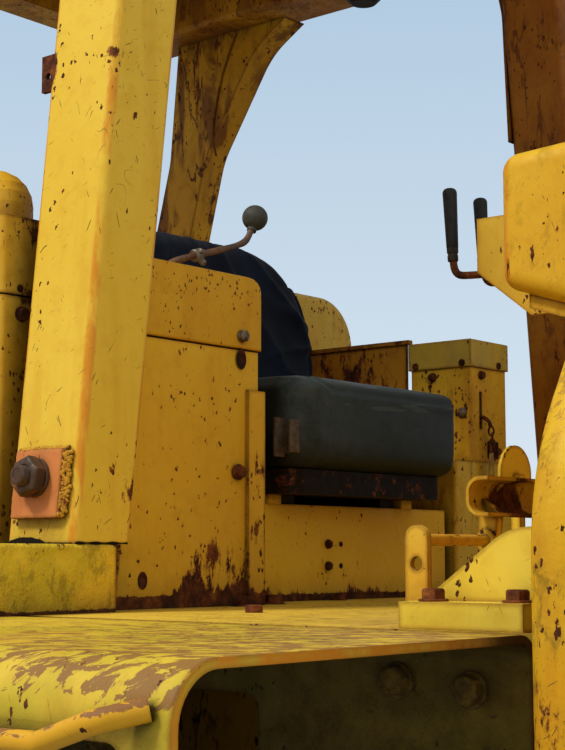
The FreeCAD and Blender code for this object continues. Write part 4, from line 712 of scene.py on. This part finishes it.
def block(bm, low, high, bevel=0.001):
    """A box with broken edges, between two corners."""
    made = bmesh.ops.create_cube(bm, size=1.0)["verts"]
    low, high = Vector(low), Vector(high)
    for vert in made:
        vert.co = Vector(((low[i] + high[i]) / 2 + vert.co[i] * (high[i] - low[i]) for i in range(3)))
    edges = list({edge for vert in made for edge in vert.link_edges})
    bmesh.ops.bevel(bm, geom=edges, offset=bevel, segments=2, affect="EDGES", profile=0.5)


def weld(bm, path, radius, seed):
    """A lumpy weld bead with its ripples along a path."""
    step = 0.0022
    spots = [Vector(p) for p in path]
    line = []
    for a, b in zip(spots, spots[1:]):
        steps = max(2, int((b - a).length / step))
        line += [a.lerp(b, i / steps) for i in range(steps)]
    line.append(spots[-1])
    for spot in line:
        shift = noise_vector(spot * 90 + Vector((seed, 0, 0)))
        spot += shift * radius * 0.35

    def ripple(share):
        lumps = noise((share * 40, seed, 0))
        return radius * (0.85 + 0.25 * sin(share * len(line) * 1.9) + 0.25 * lumps)

    swept(bm, line, ripple, 10)


# Bolts, grouped by what carries them: place, normal, width across the flats, height, width of the washer
def make_bolts():
    cover = COVER_FRONT + 0.0005
    corner_angle = COVER_FRONT + 0.0015
    cap_side = CAP_SIDE + 0.0005
    wall_side = 0.91
    sets = {
        "deck_bolts": (RUSTY, [
            ((0.325, -0.42, DECK), UP, 0.026, 0.013, 0.036), ((0.285, -0.3, DECK), UP, 0.027, 0.013, 0.038),
            ((0.225, -0.045, DECK), UP, 0.022, 0.011, 0.03), ((0.325, 0.3, DECK), UP, 0.026, 0.013, 0.036),
            ((0.52, -0.62, DECK), UP, 0.024, 0.012, 0), ((0.52, 0.62, DECK), UP, 0.024, 0.012, 0)]),
        "bracket_bolts": (RUSTY, [
            ((x, sign * y, PAD), UP, 0.024, 0.012, 0.034)
            for sign in BOTH_SIDES for x, y in ((1.000, 0.868), (1.035, 0.76), (1.105, 0.862))]),
        "console_bolt": (PALE_STEEL, [
            ((cover, -0.404, 0.74), AHEAD, 0.018, 0.008, 0.021)]),
        "console_low_bolt": (RUSTY, [
            ((corner_angle, -0.412, 0.516), AHEAD, 0.019, 0.008, 0.026)]),
        "cap_bolts": (DARK_RUST, [
            ((0.08, cap_side, 0.782), RIGHT, 0.014, 0.005, 0),
            ((0.198, cap_side, 0.782), RIGHT, 0.014, 0.005, 0),
            ((CAP_FRONT - 0.0005, 0.518, 0.783), AHEAD, 0.014, 0.005, 0)]),
        "tower_bolts": (RUSTY, [
            ((0.121, TOWER_SIDE, 0.756), RIGHT, 0.015, 0.007, 0.02),
            ((TOWER_FRONT, 0.455, 0.758), AHEAD, 0.014, 0.007, 0.019),
            ((TOWER_FRONT, 0.52, 0.6), AHEAD, 0.014, 0.006, 0)]),
        "pedestal_bolts": (RUSTY, [
            ((PEDESTAL_FACE, -0.046, z), AHEAD, 0.013, 0.005, 0.017) for z in PEDESTAL_ROWS]),
        "filter_bolt": (DARK_RUST, [((FILTER_FRONT, -0.761, 0.748), AHEAD, 0.018, 0.008, 0.024)]),
        "wall_bolts": (PAINTED_STEEL, [
            ((x, sign * wall_side, z), (0, sign, 0), 0.03, 0.014, 0.04)
            for sign in BOTH_SIDES for x, z in ((0.981, 0.245), (1.076, 0.24), (0.52, 0.15), (-0.4, 0.15))]),
        "rear_shoe_bolts": (RUSTY, [
            ((x, sign * y, SHOE), UP, 0.026, 0.013, 0.036)
            for sign in BOTH_SIDES for x in (-1.165, -1.0) for y in (0.605, 0.73)]),
        "dash_bolts": (PALE_STEEL, [
            ((DASH_REAR, y, z), BACK, 0.012, 0.005, 0.018) for y in (-0.28, 0.28) for z in (0.83, 0.95)]),
    }
    for name, (material, bolts) in sets.items():
        bm = bmesh.new()
        for i, bolt in enumerate(bolts):
            add_bolt(bm, *bolt, spin=0.5 * i + 0.2)
        finish_mesh(name, bm, material)
    bm = bmesh.new()
    add_bolt(bm, (0.194, TOWER_SIDE, 0.677), RIGHT, 0.018, 0.007, 0.022, domed=True)
    finish_mesh("tower_rivet", bm, PALE_STEEL)


def make_holes():
    """Rusted holes and slots in the sheet metal, as shallow cups in dark rust that paint the shade of their
    depth.
    """
    bm = bmesh.new()
    console_face = 0.3002
    spots = [((COVER_FRONT + 0.0005, -0.404, 0.702), 0.0115, 1.45),
             ((console_face, -0.625, 0.343), 0.01, 1.35),
             ((FILTER_FRONT + 0.0003, -0.764, 0.788), 0.006, 1.0)]
    spots += [((PEDESTAL_FACE, -0.007, z), 0.005, 1.0) for z in PEDESTAL_ROWS]
    for at, radius, tall in spots:
        matrix = standing(at, AHEAD) @ Matrix.Diagonal((1.0, tall, 1.0, 1.0))
        turned(bm, [(radius, 0.0), (radius, 0.0006), (radius * 0.8, 0.0011), (radius * 0.7, 0.0002),
                    (radius * 0.1, 0.0001)], matrix, 20)
    finish_mesh("sheet_holes", bm, DARK_RUST)


# Levers
def make_blade_lever():
    route = [(0.18, -0.468, 0.786), (0.18, -0.468, 0.84), (0.186, -0.455, 0.868), (0.2, -0.42, 0.884),
             (0.2, -0.35, 0.905), (0.2, -0.3, 0.922), (0.2, -0.277, 0.934), (0.2, -0.264, 0.952),
             (0.2, -0.258, 0.966)]
    ball_at = (0.2, -0.252, 0.979)
    ball_radius = 0.023
    rod_steel = metal("lever_rod", (0.2, 0.09, 0.03), (0.06, 0.045, 0.04), 0.5, 0.3, 22, rust=0.15, seed=8.0)
    bm = bmesh.new()
    swept(bm, smooth_path(route, 7), lambda share: 0.0058 + 0.0008 * noise((share * 9, 0, 4)), 16)
    rod = finish_mesh("blade_lever_rod", bm, rod_steel)
    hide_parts("blade_lever")

    bm = bmesh.new()
    bmesh.ops.create_uvsphere(bm, u_segments=40, v_segments=24, radius=ball_radius,
                              matrix=Matrix.Translation(ball_at))
    turned(bm, [(0.0085, 0), (0.0085, 0.01), (0.007, 0.012)],
           standing((0.2, -0.2615, 0.9535), (0, 0.35, 0.94)))
    finish_mesh("blade_lever_knob", bm, KNOB)

    bm = bmesh.new()
    turned(bm, [(0.01, -0.009), (0.011, -0.008), (0.011, 0.008), (0.01, 0.009)],
           standing((0.2, -0.402, 0.8895), (0, 0.94, 0.3)))
    add_bolt(bm, (0.2095, -0.402, 0.894), (0.5, 0.1, 0.9), 0.01, 0.006)
    add_bolt(bm, (0.206, -0.398, 0.88), (0.7, 0.2, -0.7), 0.01, 0.01)
    finish_mesh("blade_lever_clamp", bm, PALE_STEEL)


def make_steering_lever(name, node, y, splay, body):
    """Hub, bent rod, ferrule and tapered rubber grip of one steering lever."""
    pin_x, pin_z = 0.655, 0.85
    rod_radius = 0.0065
    grip_y = y - splay
    route = [(0.645, y, pin_z), (0.6, y - 0.4 * splay, 0.8515), (0.56, y - 0.8 * splay, 0.853),
             (0.542, grip_y, 0.8555), (0.533, grip_y, 0.8645), (0.5295, grip_y, 0.88), (0.5285, grip_y, 0.9)]
    bm = bmesh.new()
    turned(bm, [(0.015, -0.0115), (0.017, -0.01), (0.017, 0.01), (0.015, 0.0115)],
           standing((pin_x, y, pin_z), (0, 1, 0)), 32)
    swept(bm, smooth_path(route, 6), rod_radius, 16)
    rod = finish_mesh(name + "_rod", bm, RUSTY, body)
    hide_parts(node)

    foot = standing((0.529, grip_y, 0.88), (-0.044, 0, 1))
    ferrule_steel = metal(name + "_ferrule", (0.05, 0.035, 0.02), (0.02, 0.02, 0.018), scale=50,
                          rust=0.12, seed=y * 30)
    bm = bmesh.new()
    turned(bm, [(0.0082, 0.000), (0.0092, 0.002), (0.0092, 0.01), (0.0084, 0.0115), (0.0084, 0.0135),
                (0.0098, 0.015), (0.01, 0.024)], foot, 28)
    finish_mesh(name + "_ferrule", bm, ferrule_steel, body)

    narrow, widening, grip_from, grip_long = 0.0102, 0.0022, 0.024, 0.095
    end_flat, end_radius, end_height = 0.004, 0.0085, 0.12
    profile = [(0.0098, 0.0225), (narrow, grip_from)]
    profile += [(narrow + widening * i / 10, grip_from + grip_long * i / 10) for i in range(1, 10)]
    for degrees in (0, 20, 40, 60, 80):
        a = radians(degrees)
        profile.append((end_flat + end_radius * cos(a), end_height + end_radius * sin(a)))
    bm = bmesh.new()
    turned(bm, profile, foot, 32)
    finish_mesh(name + "_grip", bm, RUBBER, body)


# Control linkage at the tower's slot
def make_linkage():
    rod_x = 0.232
    link_gap, link_wide, link_tall, link_wire = 0.013, 0.0055, 0.0095, 0.0021
    hook = [(0.205, 0.4536, 0.672), (0.222, 0.4536, 0.668), (0.231, 0.459, 0.66), (rod_x, 0.465, 0.648)]
    bm = bmesh.new()
    swept(bm, smooth_path(hook, 6), 0.0042, 12)
    for i in range(4):
        middle = Matrix.Translation((rod_x, 0.4665 + 0.004 * sin(i * 1.1), 0.64 - link_gap * i))
        turn = Matrix.Rotation(radians(90 * (i % 2) + 25), 4, "Z")
        link = [middle @ turn @ Vector((link_wide * cos(a), 0, link_tall * sin(a)))
                for a in circle(16) + [2 * pi]]
        swept(bm, link, link_wire, 8)
    finish_mesh("tower_chain", bm, RUSTY)

    bm = bmesh.new()
    turned(bm, [(0.0035, 0.0), (0.0045, 0.002), (0.006, 0.03), (0.0065, 0.046), (0.005, 0.048),
                (0.005, 0.12), (0.0042, 0.121)], standing((rod_x, 0.466, 0.595), (0, -0.02, -1)))
    finish_mesh("tower_rod", bm, metal("tower_rod", (0.4, 0.24, 0.03), (0.2, 0.11, 0.03), 0.5, rust=0.12))

    bm = bmesh.new()
    turned(bm, [(0.01, 0.0), (0.0125, 0.004), (0.0125, 0.03), (0.0145, 0.034), (0.0145, 0.06),
                (0.012, 0.066)], standing((rod_x, 0.4645, 0.542), (0, 0, -1)), 28)
    block(bm, (0.212, 0.456, 0.47), (0.238, 0.473, 0.484))
    finish_mesh("tower_boot", bm, metal("boot", (0.13, 0.12, 0.07), (0.08, 0.07, 0.05), 0.6))

    bm = bmesh.new()
    block(bm, (0.214, 0.478, 0.584), (0.2185, 0.516, 0.62))
    block(bm, (0.218, 0.486, 0.596), (0.226, 0.492, 0.612))
    add_bolt(bm, (0.218, 0.505, 0.602), AHEAD, 0.012, 0.005)
    finish_mesh("tower_tab", bm, DARK_RUST)


# Seat hardware
def make_seat_hardware():
    """The folding bracket on the seat's right side and the slide's end stops."""
    half_thick = 0.003
    bracket_steel = metal("bracket_steel", (0.15, 0.11, 0.07), (0.07, 0.045, 0.025), 0.55, 0.4, 45, rust=0.1,
                          seed=4.0)
    bm = bmesh.new()
    for x, bottom, top in ((0.262, 0.55, 0.618), (0.296, 0.556, 0.612)):
        block(bm, (x - half_thick, -0.272, bottom), (x + half_thick, -0.246, top), 0.0015)
    block(bm, (0.259, -0.25, 0.556), (0.299, -0.247, 0.61))
    add_bolt(bm, (0.259, -0.262, 0.594), BACK, 0.012, 0.006)
    finish_mesh("seat_bracket", bm, bracket_steel, "seat")

    half_wide, stop_top = 0.018, 0.492
    bm = bmesh.new()
    for y in (-0.2, 0.2):
        block(bm, (0.17, y - half_wide, 0.471), (0.203, y + half_wide, stop_top), 0.002)
        add_bolt(bm, (0.186, y, stop_top), UP, 0.014, 0.006)
    finish_mesh("slide_stops", bm, NODES["seat_pedestal"].data.materials[0])


def on_post(x, up, out, sign):
    """A place on a front post's outer face: x, height along the face and distance out of it."""
    foot_y, foot_z, head_y, head_z = POST_LINE
    lean = atan((foot_y - head_y) / (head_z - foot_z))
    y = foot_y - sin(lean) * up + cos(lean) * out
    z = foot_z + cos(lean) * up + sin(lean) * out
    return Vector((x, sign * y, z))


# Stud plates
def add_plate(bm, sign):
    """A flame-cut plate with its notched rim."""
    middle_x, middle_up, half, thick = PLATE
    made, _, _ = soft_box((-half, -half, -0.001), (half, half, thick), 0.0022, 0.0026)
    for vert in made.verts:
        p = vert.co
        if max(abs(p.x), abs(p.y)) / half > 0.9:
            notch = noise((p.x * 160, p.y * 160, p.z * 25 + sign))
            broad = noise((p.x * 25, p.y * 25, sign * 3))
            p.x += 0.0006 * notch * copysign(1, p.x) + 0.0012 * broad
            p.y += 0.0006 * notch * copysign(1, p.y)
        p.z += 0.0003 * noise((p.x * 60, p.y * 60, sign))
        vert.co = on_post(middle_x + p.x, middle_up + p.y, p.z, sign)
    mesh = bpy.data.meshes.new("plate")
    made.to_mesh(mesh)
    made.free()
    bm.from_mesh(mesh)
    bpy.data.meshes.remove(mesh)


def add_stud(bm, sign):
    """Washer, hexagonal nut and threaded stud."""
    middle_x, middle_up, _, thick = PLATE
    up = middle_up + 0.008
    base = on_post(middle_x, up, thick, sign)
    spot = standing(base, on_post(middle_x, up, thick + 1, sign) - base, 0.35)
    turned(bm, [(0.0285, 0), (0.0285, 0.0045), (0.0275, 0.0058), (0.018, 0.006)], spot, 48)
    turned(bm, [(0.0235, 0.0055), (0.0258, 0.0075, 1), (0.026, 0.009, 1), (0.026, 0.0225, 1),
                (0.0256, 0.024, 0.9), (0.0232, 0.0262, 0.2), (0.0165, 0.0264), (0.0158, 0.0245)], spot, 72)
    thread = [(0.015 - 0.0009 * (i % 2), 0.022 + 0.0011 * i) for i in range(13)]
    thread += [(0.0135, 0.0372), (0.01, 0.0376), (0.0092, 0.0368), (0.004, 0.037)]
    turned(bm, thread, spot, 32)


def add_crust(bm, sign):
    """The weld's crust at a plate's front side, and a bead along its top."""
    middle_x, middle_up, half, _ = PLATE
    lumps, crust_half, golden = 120, 0.046, 0.618
    for i in range(lumps):
        up = middle_up - crust_half + 2 * crust_half * ((i * golden) % 1.0)
        across = noise((i * 1.7, sign, 0.3))
        radius = 0.0032 + 0.0016 * abs(noise((i * 2.3, 5.0, sign)))
        at = on_post(middle_x + half + 0.004 + 0.009 * across, up, 0.0035 + 0.006 * (0.5 - across), sign)
        bmesh.ops.create_icosphere(bm, subdivisions=2, radius=radius, matrix=Matrix.Translation(at))
    bead_half, steps = 0.052, 12
    path = [on_post(middle_x + bead_half - 2 * bead_half * i / steps, middle_up + half + 0.001, 0.002, sign)
            for i in range(steps + 1)]
    weld(bm, path, 0.0042, 7 + sign)


def make_stud_plates():
    """The plate, washer, nut, stud and crusty weld on each front post."""
    plates = bmesh.new()
    nuts = bmesh.new()
    beads = bmesh.new()
    for sign in BOTH_SIDES:
        add_plate(plates, sign)
        add_stud(nuts, sign)
        add_crust(beads, sign)
    plate = finish_mesh("stud_plates", plates, paint(
        "primer_plate", SALMON, (0.64, 0.26, 0.07), (0.44, 0.13, 0.035), (0.6, 0.33, 0.03), rust=0.22,
        edges=1.0, scratches=0.4, seed=15.2))
    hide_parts("post_plates")
    finish_mesh("stud_nuts", nuts, metal(
        "old_nut", (0.08, 0.04, 0.02), (0.038, 0.018, 0.01), 0.42, 0.25, scale=40, rust=0.2, seed=6.0))
    finish_mesh("plate_welds", beads, paint(
        "weld_paint", (0.56, 0.3, 0.016), (0.64, 0.4, 0.03), rust=0.3, edges=0.4, chips=1.0, dirt=1.0,
        reach=0.012, seed=21.0))


def make_foot_shadow_gaps():
    """Painted shadow: a dark sheet along each front post's foot, where the gap to its block lies in shade,
    wider at one end, and a thin dark line along the foot of the front face.
    """
    bm = bmesh.new()
    rear, front = 0.212, highest("post_front_right").x - 0.004
    count = 60
    under, behind, proud = -0.0018, -0.002, 0.0007
    for sign in BOTH_SIDES:
        rows = []
        for i in range(count + 1):
            share = i / count
            swell = max(0.0, sin(pi * min(1.0, share / 0.62))) ** 0.8
            ragged = noise((share * 14, sign, 2.0))
            tall = 0.0022 + 0.0078 * swell + 0.0012 * ragged
            x = rear + (front - rear) * share
            rows.append([bm.verts.new(on_post(x, up, out, sign))
                         for up, out in ((under, behind), (under, proud), (tall, proud), (tall, behind))])
        skin(bm, rows)
        path = [(front + 0.004, sign * y, 0.3985) for y in (0.812, 0.79, 0.765, 0.74, 0.712)]
        swept(bm, smooth_path(path, 6), lambda share: 0.0016 + 0.0007 * sin(share * 19), 8)
    # Near black, for the painted shadow at the foot
    painted_shadow_crevice = metal("painted_shadow_crevice", (0.006, 0.004, 0.003), (0.014, 0.008, 0.004), 0.9, bump=0.8)
    finish_mesh("foot_shadow_gaps", bm, painted_shadow_crevice, shading="flat")


def make_welds():
    """Weld beads at the brackets, the rear shoes and the seams of the rear posts' flares."""
    bm = bmesh.new()
    for sign in BOTH_SIDES:
        for rear, front, y, z, radius, seed in (
                (0.985, 1.185, 0.826, 0.331, 0.004, 11 + sign), (0.867, 0.899, 0.7385, 0.3005, 0.0035, 14),
                (-1.15, -1.03, 0.628, 0.3165, 0.005, 17 + sign)):
            weld(bm, [(rear, sign * y, z), (front, sign * y, z)], radius, seed)
    finish_mesh("foot_welds", bm, NODES["cowl_brackets"].data.materials[0])
    bm = bmesh.new()
    flare = ((-0.7, 1.418), (-0.712, 1.48), (-0.7, 1.56), (-0.672, 1.65), (-0.63, 1.738))
    for sign in BOTH_SIDES:
        weld(bm, smooth_path([(x, sign * 0.627, z) for x, z in flare], 5), 0.003, 23 + sign)
    finish_mesh("flare_welds", bm, NODES["post_rear_right"].data.materials[0])


# Seat cushion and backrest cover
def clamp(value):
    return min(1.0, max(0.0, value))


def soft_box(low, high, radius, step):
    """A box of small squares with rounded edges; returns a bmesh and its middle and half sizes."""
    low, high = Vector(low), Vector(high)
    middle = (low + high) / 2
    half = (high - low) / 2
    bm = bmesh.new()
    counts = [max(2, int(2 * h / step)) for h in half]
    made = {}

    def vert(key):
        if key not in made:
            spot = Vector([-half[i] + 2 * half[i] * key[i] / counts[i] for i in range(3)])
            inner = Vector([max(-half[i] + radius, min(half[i] - radius, spot[i])) for i in range(3)])
            out = spot - inner
            if out.length > 1e-9:
                spot = inner + out.normalized() * radius
            made[key] = bm.verts.new(middle + spot)
        return made[key]

    for axis in range(3):
        one, two = [i for i in range(3) if i != axis]
        for end in (0, counts[axis]):
            for i in range(counts[one]):
                for j in range(counts[two]):
                    corners = []
                    for a, b in ((0, 0), (1, 0), (1, 1), (0, 1)):
                        key = [0, 0, 0]
                        key[axis], key[one], key[two] = end, i + a, j + b
                        corners.append(vert(tuple(key)))
                    bm.faces.new(corners)
    return bm, middle, half


def push(bm, distance):
    """Moves every point along its normal, by a distance worked out from its place."""
    bm.normal_update()
    shifts = {vert: vert.normal * distance(vert.co) for vert in bm.verts}
    for vert, shift in shifts.items():
        vert.co += shift


def make_cushion():
    """A worn cushion: crowned top, full sides, a pinched front corner on the right, and seams."""
    edge_radius, mesh_step = 0.026, 0.0052
    crown_height, seam_drop = 0.007, 0.0205
    low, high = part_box("seat_cushion")
    inside_low = low + Vector((0.002, 0.002, 0.0005))
    inside_high = high - Vector((0.003, 0.002, crown_height))
    bm, middle, half = soft_box(inside_low, inside_high, edge_radius, mesh_step)
    top = high.z - crown_height
    for vert in bm.verts:
        p = vert.co
        u = [(p[i] - middle[i]) / half[i] for i in range(3)]
        lift = max(0.0, u[2]) ** 3
        p.z += crown_height * (1 - u[0] ** 4) * (1 - u[1] ** 4) * lift
        if u[0] > 0.6:
            p.x += 0.0035 * (1 - u[2] ** 2) * (1 - u[1] ** 4)
            p.x -= 0.01 * max(0.0, -u[2]) ** 3
        if abs(u[1]) > 0.7:
            p.y += copysign(0.003 * (1 - u[2] ** 2) * (1 - u[0] ** 4), u[1])
        corner = max(0.0, (u[0] - 0.72) / 0.28) * max(0.0, (-u[1] - 0.8) / 0.2)
        p.x -= 0.016 * corner
        p.y += 0.01 * corner * max(0.0, 1 - u[2]) * 0.5
        wave = noise((p.x * 9, p.y * 9, p.z * 14))
        small = noise((p.x * 30, p.y * 26, p.z * 44))
        vert.co = p + Vector((0.0016 * wave + 0.0006 * small, 0, 0.0012 * wave * lift))

    def seam(p):
        """Along the front under the top edge, up and back over it near the right side, and along the left."""
        climb = clamp((-0.15 - p.y) / 0.05)
        front_line = top - seam_drop + 0.024 * climb * climb * (3 - 2 * climb)
        gaps = [1.0]
        if p.x > high.x - 0.03 and p.y > -0.205 and climb < 1:
            gaps.append(abs(p.z - front_line))
        if p.z > top - 0.012 and p.x < high.x - 0.012:
            gaps.append(abs(p.y + 0.2 - 0.004 * sin(p.x * 20)))
        if p.y > high.y - 0.028:
            gaps.append(abs(p.z - (top - seam_drop)))
        gap = min(gaps)
        return 0.001 * exp(-((gap - 0.01) / 0.005) ** 2) - 0.003 * exp(-(gap / 0.0042) ** 2)

    push(bm, seam)
    piece = finish_mesh("seat_cushion_vinyl", bm, VINYL, "seat", "smooth")
    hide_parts("seat_cushion")


def make_backrest():
    """A work jacket pulled over the backrest: round shoulders, creases and hanging folds."""
    pivot = Vector((-0.185, 0.0, 0.56))
    low, high = Vector((-0.204, -0.316, 0.708)), Vector((-0.094, 0.316, 1.016))
    shoulder, edge_radius, mesh_step = 0.195, 0.034, 0.0052
    lean = Matrix.Rotation(radians(-6), 3, "Y")
    bm, middle, half = soft_box(low, high, edge_radius, mesh_step)
    for vert in bm.verts:
        p = vert.co
        over = Vector((0, abs(p.y) - (half.y - shoulder), p.z - (high.z - shoulder)))
        if over.y > 0 and over.z > 0:
            keep = max(over.y, over.z) / hypot(over.y, over.z)
            p.y = copysign(half.y - shoulder + over.y * keep, p.y)
            p.z = high.z - shoulder + over.z * keep
        across = p.y / half.y
        rise = (p.z - middle.z) / half.z
        crown = max(0.0, 1 - across ** 4) * max(0.0, 1 - rise ** 4)
        p.x += copysign(0.012 * crown, p.x - middle.x)
        p.z += 0.007 * max(0.0, 1 - across ** 2) * max(0.0, rise) ** 3

    def fold(p):
        """Creases that fan out from the collar, folds low on both sides and one over the left shoulder."""
        wander = noise(p * 5.5)
        fan = atan2(p.y + 0.03, 1.13 - p.z)
        ridge = 1 - abs(sin(6.5 * fan + 2.6 * wander))
        below_collar = clamp((1.02 - p.z) / 0.1)
        shift = 0.011 * (ridge ** 2 - 0.35) * (0.25 + 0.75 * below_collar)
        sag = 1 - abs(sin(31 * (p.z - 0.42 * abs(p.y)) + 2.2 * wander))
        low_side = clamp((0.9 - p.z) / 0.08) * clamp((abs(p.y) - 0.1) / 0.1)
        shift += 0.01 * (sag ** 3 - 0.2) * low_side
        bulge = exp(-((p.z - 0.862 + 0.35 * (p.y - 0.3)) / 0.014) ** 2)
        shift += 0.008 * bulge * clamp((p.y - 0.14) / 0.1)
        return shift + 0.0016 * noise(p * 24) + 0.0007 * noise(p * 60)

    push(bm, fold)
    for vert in bm.verts:
        vert.co = pivot + lean @ (vert.co - pivot)
    piece = finish_mesh("backrest_cover", bm, CLOTH, "backrest", "smooth")
    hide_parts("back_cushion")


make_bolts()
make_holes()
make_blade_lever()
make_steering_lever("right_lever", "steering_lever_right", -0.104, 0.01, "right_lever")
make_steering_lever("left_lever", "steering_lever_left", -0.018, 0.0, "left_lever")
make_linkage()
make_seat_hardware()
make_stud_plates()
make_foot_shadow_gaps()
make_welds()
make_cushion()
make_backrest()
